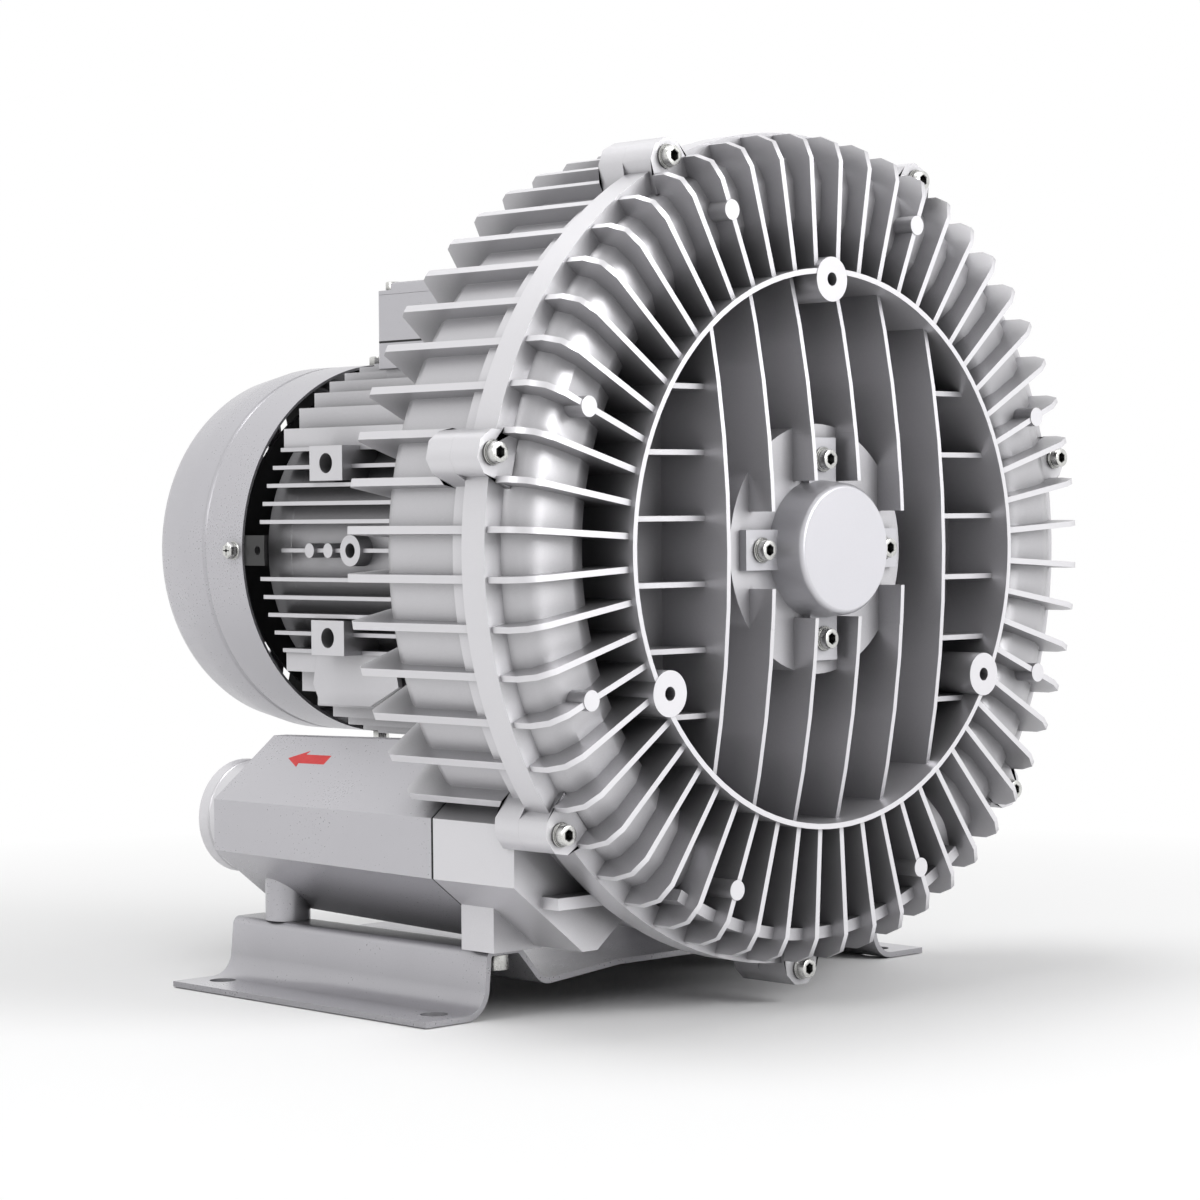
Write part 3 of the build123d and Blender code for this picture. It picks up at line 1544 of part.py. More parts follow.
foot_screw = socket_screw(m8_head, m8_head_high, m8_shank, foot_screw_long, 6)
with BuildPart() as foot_screws:
    for side in (-1, 1):
        for depth in (foot_screw_front, foot_screw_back):
            seat = (side * hump_screw_x, front_y + depth, hump_top - foot_sheet)
            with Locations(Plane(origin=seat, x_dir=(1, 0, 0), z_dir=(0, 0, -1))):
                add(foot_screw)
finish(foot_screws.part, "foot_screws")
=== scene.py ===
# %% [markdown]
# # A side channel blower
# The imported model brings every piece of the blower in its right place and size. This
# lesson gives the pieces their looks: it rounds the edges of the castings, paints each
# surface, adds the small things that only the eye needs, and sets up the light.

# %% Load the blower
import math

import bmesh
import bpy
from mathutils import Matrix, Vector


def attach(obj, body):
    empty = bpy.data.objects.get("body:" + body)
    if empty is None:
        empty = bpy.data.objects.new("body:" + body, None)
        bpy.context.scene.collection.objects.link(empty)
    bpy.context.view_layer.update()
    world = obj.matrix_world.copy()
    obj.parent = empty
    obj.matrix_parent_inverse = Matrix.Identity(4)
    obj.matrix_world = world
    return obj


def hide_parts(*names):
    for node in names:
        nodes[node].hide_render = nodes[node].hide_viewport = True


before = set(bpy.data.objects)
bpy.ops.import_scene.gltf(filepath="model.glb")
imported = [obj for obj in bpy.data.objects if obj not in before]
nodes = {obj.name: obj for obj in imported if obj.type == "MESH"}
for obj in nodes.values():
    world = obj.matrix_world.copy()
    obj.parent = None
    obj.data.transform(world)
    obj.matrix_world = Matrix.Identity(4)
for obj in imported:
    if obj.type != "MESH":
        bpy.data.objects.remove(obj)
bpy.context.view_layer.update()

# %% [markdown]
# ## Where things are
# The shaft runs along Y at this height, and depths are counted back from the front of
# the fins, as on a drawing. These few numbers place everything that the lesson adds.

# %% Places
AXIS_HEIGHT = 0.231
FRONT_Y = -0.202
MM = 0.001


def at(x, depth, height):
    """A point from millimetres: right of the shaft, behind the front, over the shaft."""
    return Vector((x * MM, FRONT_Y + depth * MM, AXIS_HEIGHT + height * MM))


print("middle of the shaft's front:", tuple(round(v, 3) for v in at(0, 0, 0)))

# %% [markdown]
# ## The camera
# A long lens of about 97 mm stands 1.8 metres away, to the left of the front, a little
# above the middle of the shaft. It is turned by three angles, so its three directions
# are worked out first and then put into one matrix.

# %% Camera
YAW = math.radians(43.776)
PITCH = math.radians(-1.505)
ROLL = math.radians(-0.497)
LENS = 96.53
SENSOR = 36
CAMERA_PLACE = Vector((-1.2010, -1.2884, 0.2488))

ahead = Vector((math.sin(YAW) * math.cos(PITCH), math.cos(YAW) * math.cos(PITCH), math.sin(PITCH)))
level_right = Vector((math.cos(YAW), -math.sin(YAW), 0))
level_up = level_right.cross(ahead)
right = math.cos(ROLL) * level_right + math.sin(ROLL) * level_up
up = math.cos(ROLL) * level_up - math.sin(ROLL) * level_right

camera_data = bpy.data.cameras.new("camera")
camera_data.lens = LENS
camera_data.sensor_width = SENSOR
camera_data.sensor_fit = "HORIZONTAL"
camera = bpy.data.objects.new("camera", camera_data)
bpy.context.scene.collection.objects.link(camera)
turn = Matrix((right, up, -ahead)).transposed().to_4x4()
camera.matrix_world = Matrix.Translation(CAMERA_PLACE) @ turn
bpy.context.scene.camera = camera
print("camera at", tuple(round(v, 3) for v in CAMERA_PLACE))

# %% [markdown]
# ## Writing shaders as sums
# A material in Blender is a set of nodes and wires. Wiring by hand hides the idea, so a
# small class wraps one socket and lets Python's own signs add the Math nodes: 1 - mask
# makes a Subtract node. One method makes any other node and returns its outputs.

# %% Sockets that can be added and multiplied
class Wire:
    """One output socket of a shader node, ready to be used in a sum."""

    def __init__(self, finish, socket):
        self.finish = finish
        self.socket = socket

    def math(self, operation, first, second):
        return self.finish.node("ShaderNodeMath", {"operation": operation}, {0: first, 1: second})

    def __add__(self, other): return self.math("ADD", self, other)
    def __radd__(self, other): return self.math("ADD", other, self)
    def __sub__(self, other): return self.math("SUBTRACT", self, other)
    def __rsub__(self, other): return self.math("SUBTRACT", other, self)
    def __mul__(self, other): return self.math("MULTIPLY", self, other)


print("sockets can be written in sums")

# %% [markdown]
# ## One finish, one helper
# Every finish here is a Principled shader with a few things that vary over the surface:
# colour, roughness and a fine bump. The helper keeps the node tree and offers those.

# %% A finish
class Finish:
    """A material with one Principled shader, and a method for each kind of node."""

    def __init__(self, name, colour=(0.5, 0.5, 0.5), roughness=0.5, metallic=0.0, **fixed):
        self.material = bpy.data.materials.new(name)
        self.material.use_nodes = True
        self.tree = self.material.node_tree
        self.shader = self.tree.nodes["Principled BSDF"]
        self.shader.inputs["Base Color"].default_value = (*colour, 1)
        self.shader.inputs["Roughness"].default_value = roughness
        self.shader.inputs["Metallic"].default_value = metallic
        for socket, value in fixed.items():
            self.shader.inputs[socket.replace("_", " ")].default_value = value

    def node(self, kind, settings=None, values=None, out=0):
        made = self.tree.nodes.new(kind)
        for name, value in (settings or {}).items():
            if name == "stops":
                ramp = made.color_ramp
                while len(ramp.elements) < len(value):
                    ramp.elements.new(0.5)
                for element, (place, shade) in zip(ramp.elements, value):
                    element.position = place
                    element.color = shade if len(shade) == 4 else (*shade, 1)
            else:
                setattr(made, name, value)
        for socket, value in (values or {}).items():
            if isinstance(value, Wire):
                self.tree.links.new(value.socket, made.inputs[socket])
            else:
                made.inputs[socket].default_value = value
        return Wire(self, made.outputs[out])

    def feed(self, socket, wire):
        self.tree.links.new(wire.socket, self.shader.inputs[socket])

    def place(self):
        return self.node("ShaderNodeTexCoord", out="Object")

    def noise(self, scale, detail=4, where=None):
        values = {"Vector": where or self.place(), "Scale": scale, "Detail": detail}
        return self.node("ShaderNodeTexNoise", {}, values)

    def stretched(self, x, y, z):
        """Object coordinates scaled unevenly, for brushed or layered surfaces."""
        values = {"Vector": self.place(), "Scale": (x, y, z)}
        return self.node("ShaderNodeMapping", {}, values)

    def blend(self, amount, first, second):
        """Mix two colours; a Mix node keeps its colour sockets at places 6 and 7."""
        first = first if isinstance(first, Wire) else (*first, 1)
        second = second if isinstance(second, Wire) else (*second, 1)
        made = self.node("ShaderNodeMix", {"data_type": "RGBA"}, {"Factor": amount}, out=2)
        for socket, value in ((6, first), (7, second)):
            if isinstance(value, Wire):
                self.tree.links.new(value.socket, made.socket.node.inputs[socket])
            else:
                made.socket.node.inputs[socket].default_value = value
        return made

    def bump(self, height, distance):
        values = {"Height": height, "Distance": distance, "Strength": 1.0}
        self.feed("Normal", self.node("ShaderNodeBump", {}, values))


print("a finish is a shader with helpers")

# %% [markdown]
# ## Painted aluminium castings
# The castings are sprayed silver-grey. Sand leaves a fine grain under the paint, and the
# spray lies a little unevenly. The grain is a bump of two sizes of noise, and painted
# shade darkens the hollows between the fins by how shut in a point is.

# %% Silver paint
AO_SAMPLES = 6
FIN_DEPTH = 0.035
SOCKET_DEPTH = 0.004


def silver_paint(name, colour, shade, grain, roughness, depth=0.000025):
    paint = Finish(name, colour, roughness, metallic=0.65)
    # Painted shade: the hollows take on the shade colour by how shut in a point is, and the clouds
    # add a little random mottling.
    shut_in = paint.node(
        "ShaderNodeAmbientOcclusion", {"samples": AO_SAMPLES}, {"Distance": FIN_DEPTH}, out="AO"
    )
    clouds = paint.noise(14, 3)
    speckle = paint.noise(grain, 2)
    painted_shade_and_mottle = (1 - shut_in) * 0.85 + (clouds - 0.5) * 0.08
    painted_shade_and_mottle = paint.node("ShaderNodeClamp", {}, {"Value": painted_shade_and_mottle})
    paint.feed("Base Color", paint.blend(painted_shade_and_mottle, colour, shade))
    paint.feed("Roughness", roughness + (speckle - 0.5) * 0.22 + (clouds - 0.5) * 0.12)
    paint.bump(speckle + paint.noise(grain * 0.3, 2) * 0.8, depth)
    return paint.material


# The second colour of each paint is its painted shade, laid into the hollows.
cast_silver = silver_paint("cast_silver", (0.70, 0.692, 0.715), (0.045, 0.045, 0.05), 1400, 0.38)
motor_silver = silver_paint("motor_silver", (0.64, 0.633, 0.655), (0.012, 0.012, 0.014), 1400, 0.40)
cap_silver = silver_paint(
    "cap_silver", (0.56, 0.555, 0.585), (0.25, 0.25, 0.26), 1100, 0.46, 0.000018
)
smooth_silver = silver_paint(
    "smooth_silver", (0.52, 0.513, 0.54), (0.10, 0.10, 0.105), 900, 0.32, 0.000008
)
print("four silver paints")

# %% [markdown]
# ## Zinc, steel and black
# Screws are bright zinc with a faint yellow and fine turning marks. The fan and the gland
# are black mouldings; the clips are black sheet whose black is painted shade for the dark inside of
# the cowl.

# %% Small finishes
def turned_metal(name, colour, roughness, scale):
    metal = Finish(name, colour, roughness, metallic=1.0)
    rings = metal.noise(1, 4, where=metal.stretched(scale, scale * 0.15, scale))
    dull = metal.noise(220, 3)
    metal.feed("Roughness", roughness + (rings - 0.5) * 0.2 + (dull - 0.5) * 0.2)
    # Painted shade: sockets and other hollows darken nearly to black by how shut in a point is;
    # random dull spots darken the metal a little as well.
    shade_and_spot_colour = tuple(part * 0.04 for part in colour)
    shut_in = metal.node(
        "ShaderNodeAmbientOcclusion", {"samples": AO_SAMPLES}, {"Distance": SOCKET_DEPTH}, out="AO"
    )
    socket_shade_and_spots = (1 - shut_in) * 1.6 + (0.62 - dull) * 0.5
    socket_shade_and_spots = metal.node("ShaderNodeClamp", {}, {"Value": socket_shade_and_spots})
    metal.feed("Base Color", metal.blend(socket_shade_and_spots, colour, shade_and_spot_colour))
    metal.bump(rings, 0.00001)
    return metal.material


def black_stuff(name, colour, worn, roughness, grain, depth):
    black = Finish(name, colour, roughness)
    cloud = black.noise(60, 4)
    fine = black.noise(grain, 2)
    black.feed("Base Color", black.blend(cloud * 0.8, colour, worn))
    black.feed("Roughness", roughness + (cloud - 0.5) * 0.25)
    black.bump(fine, depth)
    return black.material


zinc = turned_metal("zinc", (0.66, 0.66, 0.64), 0.28, 900)
steel = turned_metal("steel", (0.56, 0.56, 0.57), 0.25, 1500)
laminations = turned_metal("laminations", (0.30, 0.30, 0.32), 0.45, 1200)
brass = turned_metal("brass", (0.72, 0.50, 0.20), 0.30, 900)
copper = turned_metal("copper", (0.60, 0.24, 0.10), 0.32, 700)
# Painted shade: the clips inside the cowl are black to stand in for the shade there.
shade_black_sheet = black_stuff(
    "shade_black_sheet", (0.012, 0.012, 0.013), (0.03, 0.03, 0.03), 0.35, 900, 0.00001
)
black_moulding = black_stuff(
    "black_moulding", (0.014, 0.014, 0.015), (0.03, 0.03, 0.032), 0.5, 1600, 0.00002
)
rubber = black_stuff("rubber", (0.012, 0.012, 0.012), (0.03, 0.03, 0.03), 0.75, 700, 0.00003)
foam = black_stuff("foam", (0.02, 0.02, 0.02), (0.05, 0.05, 0.05), 0.95, 350, 0.0006)
board = black_stuff("board", (0.05, 0.03, 0.02), (0.08, 0.05, 0.03), 0.45, 1200, 0.00002)
print("small finishes made")

# %% [markdown]
# ## Which piece has which finish
# A table says it once, and a loop puts each finish in the first slot of its pieces.

# %% Paint the pieces
FINISHES = {
    cast_silver: "front_cover pump_housing outlet_spigot inlet_spigot",
    motor_silver: "motor_frame rear_end_shield",
    cap_silver: "hub_cover",
    smooth_silver: "fan_cowl foot_plate outlet_silencer inlet_silencer terminal_box_base "
                   "terminal_box_body terminal_box_lid impeller",
    zinc: "flange_bolts hub_screws motor_screws end_shield_screws cowl_screws lid_screws "
          "box_screws foot_screws impeller_nut",
    steel: "rotor_shaft impeller_key front_bearing_outer rear_bearing_outer front_bearing_inner "
           "rear_bearing_inner front_bearing_balls rear_bearing_balls bearing_spring fan_circlip",
    laminations: "stator_core rotor_core",
    copper: "stator_windings",
    shade_black_sheet: "cowl_brackets",
    rubber: "cover_seal front_shaft_seal rear_shaft_seal terminal_box_gasket outlet_gasket "
            "inlet_gasket",
    black_moulding: "cooling_fan cable_gland gland_locknut",
    board: "terminal_block",
    brass: "terminal_studs",
    foam: "outlet_absorber inlet_absorber",
}
painted = {}
for material, names in FINISHES.items():
    for name in names.split():
        painted[name] = material
        slots = nodes[name].data.materials
        slots.clear()
        slots.append(material)
print(len(painted), "pieces painted, left over:", sorted(set(nodes) - set(painted)))

# %% [markdown]
# ## Rounded edges
# Nothing that comes out of a mould or a press has a sharp edge, and it is the thin
# bright line along a rounded edge that makes metal look real. The drawing's solids are
# sharp, and their large curves are a few flat facets, so each visible piece gets a twin:
# the same faces, joined up, shaded smoothly across slight angles, with a small bevel on
# the corners. The two eight-sided silencers also get a wide bevel along their sides.


def joined_mesh(name):
    """The faces of one node, with the triangles' shared corners joined up."""
    mesh = bmesh.new()
    mesh.from_mesh(nodes[name].data)
    bmesh.ops.remove_doubles(mesh, verts=mesh.verts, dist=0.000002)
    return mesh


def show_instead(name, mesh, suffix):
    """Make an object from this mesh and let it stand in for the node."""
    data = bpy.data.meshes.new(name + suffix)
    mesh.to_mesh(data)
    mesh.free()
    piece = bpy.data.objects.new(name + suffix, data)
    bpy.context.scene.collection.objects.link(piece)
    data.materials.append(painted[name])
    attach(piece, "stator")
    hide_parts(name)
    return piece


# %% Round a piece's edges
SLIGHT = math.radians(12)
CORNER = math.radians(52)
SAME_PLANE = math.radians(0.5)
WIDE_SEGMENTS = 4
CORNER_SEGMENTS = 2


def rounded(name, width, wide, mend):
    """A twin with bevelled corners, and wide bevels on slight angles where asked for."""
    mesh = joined_mesh(name)
    bmesh.ops.dissolve_limit(
        mesh, angle_limit=SAME_PLANE, verts=mesh.verts, edges=mesh.edges, delimit=set()
    )
    if mend:
        mend(mesh)
    weights = mesh.edges.layers.float.new("bevel_weight_edge")
    for edge in mesh.edges:
        if wide and len(edge.link_faces) == 2:
            angle = edge.calc_face_angle_signed(0.0)
            if SLIGHT < angle < CORNER and edge.calc_length() > wide * 0.5:
                edge[weights] = 1.0
    piece = show_instead(name, mesh, "_rounded")
    if wide:
        eased = piece.modifiers.new("slight_angles", "BEVEL")
        eased.limit_method = "WEIGHT"
        eased.width = wide
        eased.segments = WIDE_SEGMENTS
    bevel = piece.modifiers.new("corners", "BEVEL")
    bevel.limit_method = "ANGLE"
    bevel.angle_limit = CORNER
    bevel.width = width
    bevel.segments = CORNER_SEGMENTS
    for polygon in piece.data.polygons:
        polygon.use_smooth = True
    piece.data.set_sharp_from_angle(angle=CORNER)
    normals = piece.modifiers.new("shading", "WEIGHTED_NORMAL")
    normals.keep_sharp = True
    return piece


print("edges can be rounded")

# %% [markdown]
# ## Small touches of the pattern maker
# Three forms are finer than the drawing's solids: the bolt lugs narrow towards their
# outer end, the housing's fins run on until they meet the joint, and the cowl's groove
# is steep on its front side. Moving a few points of the twin is enough for each. The
# cover also gets the ends of its upright ribs, which run over the hub boss to the cap.

# %% Touches
FLANGE_RADIUS = 209.3
LUG_RADIUS = 212.9
LUG_HALF = 14.4
LUG_FRONT, LUG_BACK = 20, 59
LUG_PITCH = 360 / 7
LUG_START = 270
LUG_SLIMMER = 0.76
LUG_SHORTER = 0.3
LUG_OUTER = 215
SCREW_ROOM = 4.5
FIN_FRONT = 49
FIN_FOOT = 204.8
JOINT_DEPTH = 41.3
GROOVE_FRONT, GROOVE_STEEP = 375, 377.2
SAME_PLACE = 0.05


def height_and_place(vertex):
    """A point's x, depth and height over the shaft, in millimetres."""
    return vertex.co.x / MM, (vertex.co.y - FRONT_Y) / MM, (vertex.co.z - AXIS_HEIGHT) / MM


def slim_lugs(mesh):
    """Narrow the seven bolt lugs outside the round flange."""
    for vertex in mesh.verts:
        x, depth, height = height_and_place(vertex)
        radius = math.hypot(x, height)
        if radius < FLANGE_RADIUS or not LUG_FRONT < depth < LUG_BACK:
            continue
        turn = math.degrees(math.atan2(height, x))
        off = math.radians((turn - LUG_START + LUG_PITCH / 2) % LUG_PITCH - LUG_PITCH / 2)
        aside = radius * math.sin(off)
        if abs(aside) > LUG_HALF or math.hypot(aside, radius - LUG_RADIUS) < SCREW_ROOM:
            continue
        turn = math.radians(turn) - off + math.asin(LUG_SLIMMER * aside / radius)
        radius -= LUG_SHORTER * max(0.0, radius - LUG_OUTER)
        vertex.co.x = radius * math.cos(turn) * MM
        vertex.co.z = AXIS_HEIGHT + radius * math.sin(turn) * MM


def reach_the_joint(mesh):
    """Run the front ends of the housing's fins up to the joint, then narrow the lugs."""
    for vertex in mesh.verts:
        x, depth, height = height_and_place(vertex)
        if abs(depth - FIN_FRONT) < SAME_PLACE and math.hypot(x, height) > FIN_FOOT:
            vertex.co.y = FRONT_Y + JOINT_DEPTH * MM
    slim_lugs(mesh)


def steepen_groove(mesh):
    """Move the front edge of the cowl's groove back, so that its front side is steep."""
    for vertex in mesh.verts:
        depth = (vertex.co.y - FRONT_Y) / MM
        if abs(depth - GROOVE_FRONT) < SAME_PLACE:
            vertex.co.y = FRONT_Y + GROOVE_STEEP * MM


# x of each pair of plates, and the heights at which they start and end
HUB_RIBS = ((16, 34.2, 60.0), (48, 19.0, 39.0))
RIB_STEPS = 6
RIB_HALF = 1.25
BOSS_FACE = 9.0
SUNK = 0.5
RIB_CROWN = -6.95
RIB_BOW = 0.000918


def rib_front(height):
    """Depth of the plates' bowed front edge, just inside the ribs that they run on from."""
    return RIB_CROWN + RIB_BOW * height ** 2


def add_hub_ribs(mesh):
    """Thin upright plates on the hub boss, in line with the ribs of the recess."""
    for side in (-1, 1):
        for upper in (-1, 1):
            for x, inner, outer in HUB_RIBS:
                heights = [
                    inner + (outer - inner) * i / RIB_STEPS for i in range(RIB_STEPS + 1)
                ]
                rows = []
                for height in heights:
                    row = []
                    for across, depth in (
                        (-RIB_HALF, BOSS_FACE + SUNK), (-RIB_HALF, rib_front(height)),
                        (RIB_HALF, rib_front(height)), (RIB_HALF, BOSS_FACE + SUNK),
                    ):
                        row.append(mesh.verts.new(at(side * x + across, depth, upper * height)))
                    rows.append(row)
                faces = [mesh.faces.new(rows[0]), mesh.faces.new(rows[-1])]
                for low, high in zip(rows, rows[1:]):
                    for i in range(4):
                        after = (i + 1) % 4
                        corners = (low[i], high[i], high[after], low[after])
                        faces.append(mesh.faces.new(corners))
                bmesh.ops.recalc_face_normals(mesh, faces=faces)


def touch_cover(mesh):
    """Both touches of the cover: narrower lugs and the plates on the hub boss."""
    slim_lugs(mesh)
    add_hub_ribs(mesh)


TOUCHES = {
    "front_cover": touch_cover, "pump_housing": reach_the_joint, "fan_cowl": steepen_groove,
}
print("touches for", sorted(TOUCHES))

# %% Round the castings and the sheet metal
# the width of the corner bevel and of the wide bevel, in metres
ROUNDED = {
    "front_cover": (0.0006, 0.0), "pump_housing": (0.0009, 0.0), "hub_cover": (0.0011, 0.0),
    "motor_frame": (0.0005, 0.0), "rear_end_shield": (0.0006, 0.0),
    "fan_cowl": (0.0004, 0.0), "cowl_brackets": (0.0003, 0.0), "foot_plate": (0.0006, 0.0),
    "terminal_box_base": (0.0008, 0.0), "terminal_box_body": (0.0012, 0.0),
    "terminal_box_lid": (0.0012, 0.0), "cable_gland": (0.0004, 0.0),
    "outlet_silencer": (0.0012, 0.009), "inlet_silencer": (0.0012, 0.009),
    "outlet_spigot": (0.0005, 0.0), "inlet_spigot": (0.0005, 0.0),
}
for name, (width, wide) in ROUNDED.items():
    twin = rounded(name, width, wide, TOUCHES.get(name))
    print(twin.name, len(twin.data.polygons), "faces before the bevels")

# %% [markdown]
# ## Screws
# Each screw is a turned shape: rows of points round an axis, joined by faces. A row is
# round or six-sided, so one list of rows gives a head with eased edges, a hexagon socket
# and a shank. Every solid of a screw node says where its screw sits: the screw stands in
# the middle of that solid, with its head at the outer end.

# %% Rows of points
STEPS = 48
SCREW_CREASE = math.radians(32)
ARM_HALF = 0.2
ARM_ROOT = 0.36


def reach_of(shape, radius, turn):
    """How far out a row goes at this turn: round, six-sided or a four-armed cross."""
    if shape == "hex":
        return radius / math.cos((turn + math.pi / 6) % (math.pi / 3) - math.pi / 6)
    if shape == "cross":
        off = abs((turn + math.pi / 4) % (math.pi / 2) - math.pi / 4)
        return radius if off < ARM_HALF else radius * ARM_ROOT
    return radius


def turn_rows(mesh, rows, seat):
    """Add one turned solid to the mesh; seat is the matrix that puts it in place."""
    loops = []
    for shape, radius, height in rows:
        loop = []
        for step in range(STEPS):
            turn = 2 * math.pi * step / STEPS
            reach = reach_of(shape, radius, turn) * MM
            point = Vector((reach * math.cos(turn), reach * math.sin(turn), height * MM))
            loop.append(mesh.verts.new(seat @ point))
        loops.append(loop)
    for inner, outer in zip(loops, loops[1:]):
        for step in range(STEPS):
            after = (step + 1) % STEPS
            mesh.faces.new((inner[step], outer[step], outer[after], inner[after]))
    mesh.faces.new(loops[0])
    mesh.faces.new(reversed(loops[-1]))


print("rows of", STEPS, "points")

# %% Where the screws sit
def islands(name):
    """The corners of each separate solid of a node, as lists of points.

    The solids come in the order of their first corners, so every run gives the same.
    """
    mesh = joined_mesh(name)
    met = set()
    found = []
    for first in mesh.verts:
        if first in met:
            continue
        met.add(first)
        front = [first]
        island = []
        while front:
            vertex = front.pop()
            island.append(nodes[name].matrix_world @ vertex.co)
            for edge in vertex.link_edges:
                other = edge.other_vert(vertex)
                if other not in met:
                    met.add(other)
                    front.append(other)
        found.append(island)
    mesh.free()
    return found


def seats(name, outward):
    """For each screw of a node: the matrix of its head's outer face, and its whole length."""
    found = []
    for island in islands(name):
        low = Vector([min(point[axis] for point in island) for axis in range(3)])
        high = Vector([max(point[axis] for point in island) for axis in range(3)])
        middle = (low + high) / 2
        out = outward(middle)
        span = abs(out.dot(high - low))
        place = Matrix.Translation(middle + out * span / 2)
        found.append((place @ out.to_track_quat("Z", "Y").to_matrix().to_4x4(), span / MM))
    return found


print("flange bolts found:", len(islands("flange_bolts")))

# %% Draw the screws
def socket_rows(head, high, key, shank, long, ring=0.0):
    """Socket screw, from the socket's floor over the head to the tip; ring adds a washer."""
    rows = [
        ("hex", key * 0.5, -0.62 * high), ("hex", key * 0.5, -0.35),
        ("hex", key * 0.5 + 0.3, 0.0), ("round", head * 0.5 - 0.75, 0.0),
        ("round", head * 0.5 - 0.22, -0.2), ("round", head * 0.5, -0.75),
    ]
    if ring:
        rows += [
            ("round", head * 0.5, 1.5 - high), ("round", head * 0.5 + 0.3, 1.3 - high),
            ("round", head * 0.5 + ring - 0.25, 1.3 - high),
            ("round", head * 0.5 + ring, 1.05 - high),
            ("round", head * 0.5 + ring, 0.02 - high),
        ]
    else:
        rows += [("round", head * 0.5, 0.3 - high), ("round", head * 0.5 - 0.3, 0.02 - high)]
    rows += [
        ("round", shank * 0.5, 0.02 - high), ("round", shank * 0.5, 0.5 - long),
        ("round", shank * 0.5 - 0.5, -long),
    ]
    return rows


def washer_head_rows(long):
    """Cowl screw: six-sided head with a cross recess, on a round flange."""
    return [
        ("cross", 2.2, -2.2), ("cross", 2.7, 0.0), ("round", 3.3, 0.0),
        ("hex", 3.9, -0.6), ("hex", 4.0, -1.0), ("hex", 4.0, -4.6),
        ("round", 5.0, -4.9), ("round", 5.5, -5.3), ("round", 5.5, -6.38),
        ("round", 2.5, -6.38), ("round", 2.5, 0.5 - long), ("round", 2.0, -long),
    ]


def draw_screws(name, outward, rows_for):
    """Turn one screw for each seat of a node, all in one mesh."""
    mesh = bmesh.new()
    places = seats(name, outward)
    for seat, long in places:
        turn_rows(mesh, rows_for(long), seat)
    bmesh.ops.recalc_face_normals(mesh, faces=mesh.faces)
    piece = show_instead(name, mesh, "_turned")
    for polygon in piece.data.polygons:
        polygon.use_smooth = True
    piece.data.set_sharp_from_angle(angle=SCREW_CREASE)
    print(piece.name, len(places), "screws")
    return piece


def frontward(middle):
    return Vector((0, -1, 0))


def backward(middle):
    return Vector((0, 1, 0))


def upward(middle):
    return Vector((0, 0, 1))


def downward(middle):
    return Vector((0, 0, -1))


def from_shaft(middle):
    """Straight out from the shaft, in whichever of the four directions is nearest."""
    x, z = middle.x, middle.z - AXIS_HEIGHT
    if abs(x) > abs(z):
        return Vector((math.copysign(1, x), 0, 0))
    return Vector((0, 0, math.copysign(1, z)))


draw_screws("flange_bolts", frontward, lambda long: socket_rows(10, 6, 5, 6, long, 1.0))
draw_screws("hub_screws", frontward, lambda long: socket_rows(10, 6, 5, 6, long, 1.3))
draw_screws("motor_screws", backward, lambda long: socket_rows(13, 8, 6, 8, long))
draw_screws("foot_screws", downward, lambda long: socket_rows(13, 8, 6, 8, long))
draw_screws("lid_screws", upward, lambda long: socket_rows(8.5, 5, 4, 5, long))
draw_screws("cowl_screws", from_shaft, washer_head_rows)

# %% [markdown]
# ## The arrow on the outlet
# A red arrow on the outlet silencer's upper slope points the way the air goes. It is a
# thin flat sticker: an outline laid on the slope, then given a little thickness.

# %% Flow arrow
# depth behind the front, and place across the arrow
ARROW = (
    (266, 0), (252.5, 6.6), (253.5, 3.5), (232, 3.5),
    (232, -3.5), (253.5, -3.5), (252.5, -6.6),
)
SLOPE_DROP, SLOPE_TAPER = 3.1, 0.021
ARROW_TAIL, ARROW_REACH = 231, 175.4
ARROW_UNDER, ARROW_TOP = -0.1, 0.22
SLOPE_UP = Vector((0.791, 0.0, 0.611))
SLOPE_OUT = Vector((-0.611, 0.0, 0.791))
arrow_paint = Finish("arrow_red", (0.62, 0.012, 0.012), 0.38)
arrow_cloud = arrow_paint.noise(260, 4)
arrow_red = arrow_paint.blend(arrow_cloud, (0.70, 0.014, 0.014), (0.50, 0.008, 0.01))
arrow_paint.feed("Base Color", arrow_red)
arrow_paint.feed("Roughness", 0.30 + arrow_cloud * 0.2)
arrow_paint.bump(arrow_paint.noise(1500, 2), 0.000006)


def on_slope(depth, across, lift):
    """A point on the silencer's left upper slope, lifted off it by so much."""
    down = -SLOPE_DROP - SLOPE_TAPER * (depth - ARROW_TAIL)
    point = SLOPE_UP * (across - ARROW_REACH) + SLOPE_OUT * (down + lift)
    return at(point.x, depth, point.z)


mesh = bmesh.new()
lower = [mesh.verts.new(on_slope(depth, across, ARROW_UNDER)) for depth, across in ARROW]
upper = [mesh.verts.new(on_slope(depth, across, ARROW_TOP)) for depth, across in ARROW]
mesh.faces.new(lower)
mesh.faces.new(upper)
for i in range(len(ARROW)):
    after = (i + 1) % len(ARROW)
    mesh.faces.new((lower[i], lower[after], upper[after], upper[i]))
bmesh.ops.recalc_face_normals(mesh, faces=mesh.faces)
arrow_data = bpy.data.meshes.new("flow_arrow")
mesh.to_mesh(arrow_data)
mesh.free()
arrow_data.materials.append(arrow_paint.material)
flow_arrow = bpy.data.objects.new("flow_arrow", arrow_data)
bpy.context.scene.collection.objects.link(flow_arrow)
arrow_edge = flow_arrow.modifiers.new("edge", "BEVEL")
arrow_edge.width = 0.00008
arrow_edge.segments = 2
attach(flow_arrow, "stator")
print("arrow of", len(ARROW), "corners")

# %% [markdown]
# ## Floor and light
# The blower stands on a plain pale floor. Large soft lamps light it from above and from
# the front left, and the room around is bright above and grey below, which is what the
# silver paint mirrors.

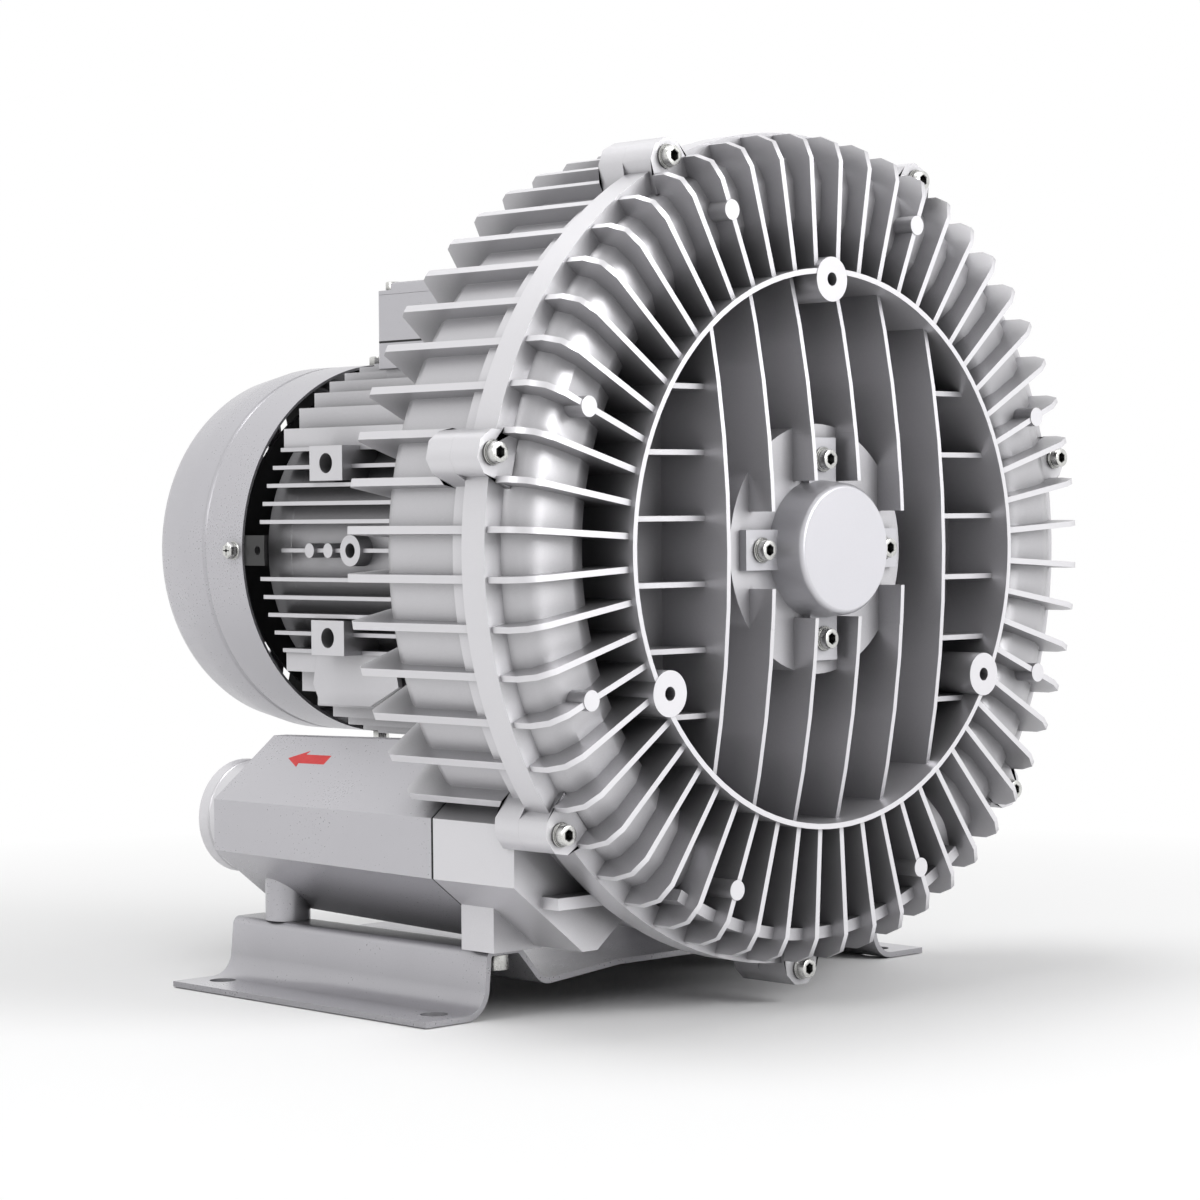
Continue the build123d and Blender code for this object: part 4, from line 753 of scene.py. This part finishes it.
# %% Floor
floor_mesh = bpy.data.meshes.new("floor")
SPAN = 12
FLOOR_Z = -0.0005
FADE_FROM, FADE_TO = 0.30, 0.85
SHOWN_TO = ("Is Camera Ray", "Is Glossy Ray", "Is Transmission Ray")
floor_mesh.from_pydata(
    [(x * SPAN, y * SPAN, FLOOR_Z) for x, y in ((-1, -1), (1, -1), (1, 1), (-1, 1))],
    [], [(0, 1, 2, 3)],
)
floor = bpy.data.objects.new("floor", floor_mesh)
bpy.context.scene.collection.objects.link(floor)
floor_finish = Finish("floor", (0.86, 0.86, 0.86), 0.7)
spot = floor_finish.place()
from_middle = floor_finish.node(
    "ShaderNodeVectorMath", {"operation": "LENGTH"}, {0: spot}, out="Value"
)
fade = {"Value": from_middle, 1: FADE_FROM, 2: FADE_TO, 3: 0.0, 4: 1.0}
far_off = floor_finish.node("ShaderNodeMapRange", {}, fade)
rays = [floor_finish.node("ShaderNodeLightPath", out=kind) for kind in SHOWN_TO]
glow = floor_finish.node("ShaderNodeEmission", {}, {"Color": (1, 1, 1, 1), "Strength": 1.0})
plain = Wire(floor_finish, floor_finish.shader.outputs[0])
whiteness = far_off * (rays[0] + rays[1] + rays[2])
faded = {0: whiteness, 1: plain, 2: glow}
both = floor_finish.node("ShaderNodeMixShader", {}, faded)
surface = floor_finish.tree.nodes["Material Output"].inputs[0]
floor_finish.tree.links.new(both.socket, surface)
floor_mesh.materials.append(floor_finish.material)
print("floor", SPAN * 2, "m wide")

# %% Light
world = bpy.data.worlds.new("room")
bpy.context.scene.world = world
world.use_nodes = True
tree = world.node_tree
background = tree.nodes["Background"]
coordinates = tree.nodes.new("ShaderNodeTexCoord")
split = tree.nodes.new("ShaderNodeSeparateXYZ")
ramp = tree.nodes.new("ShaderNodeValToRGB")
tree.links.new(coordinates.outputs["Generated"], split.inputs[0])
shift = tree.nodes.new("ShaderNodeMath")
shift.operation = "MULTIPLY_ADD"
shift.inputs[1].default_value = 0.5
shift.inputs[2].default_value = 0.5
tree.links.new(split.outputs["Z"], shift.inputs[0])
tree.links.new(shift.outputs[0], ramp.inputs[0])
ramp.color_ramp.elements[0].position = 0.45
ramp.color_ramp.elements[0].color = (0.25, 0.25, 0.26, 1)
ramp.color_ramp.elements[1].position = 0.8
ramp.color_ramp.elements[1].color = (0.9, 0.9, 0.9, 1)
tree.links.new(ramp.outputs[0], background.inputs["Color"])
background.inputs["Strength"].default_value = 0.55
seen = tree.nodes.new("ShaderNodeBackground")
seen.inputs["Color"].default_value = (1, 1, 1, 1)
paths = tree.nodes.new("ShaderNodeLightPath")
mix = tree.nodes.new("ShaderNodeMixShader")
shown = paths.outputs[SHOWN_TO[0]]
for kind in SHOWN_TO[1:]:
    either = tree.nodes.new("ShaderNodeMath")
    either.operation = "MAXIMUM"
    tree.links.new(shown, either.inputs[0])
    tree.links.new(paths.outputs[kind], either.inputs[1])
    shown = either.outputs[0]
tree.links.new(shown, mix.inputs[0])
tree.links.new(background.outputs[0], mix.inputs[1])
tree.links.new(seen.outputs[0], mix.inputs[2])
tree.links.new(mix.outputs[0], tree.nodes["World Output"].inputs[0])


def soft_lamp(name, place, size, power):
    """A square lamp that faces the middle of the blower."""
    lamp_data = bpy.data.lights.new(name, "AREA")
    lamp_data.size = size
    lamp_data.energy = power
    lamp = bpy.data.objects.new(name, lamp_data)
    lamp.location = place
    toward = Vector((0, 0, 0.23)) - Vector(place)
    lamp.rotation_euler = toward.to_track_quat("-Z", "Y").to_euler()
    bpy.context.scene.collection.objects.link(lamp)
    return lamp


soft_lamp("front_lamp", (0.7, -2.4, 1.2), 1.3, 46)
soft_lamp("top_lamp", (-0.4, 0.3, 2.3), 1.2, 22)
soft_lamp("left_lamp", (-2.4, 0.1, 1.3), 0.9, 12)
print("three soft lamps")

# %% [markdown]
# ## How colours are shown
# The plain Standard view shows each colour about as it was written.

# %% View
bpy.context.scene.view_settings.view_transform = "Standard"
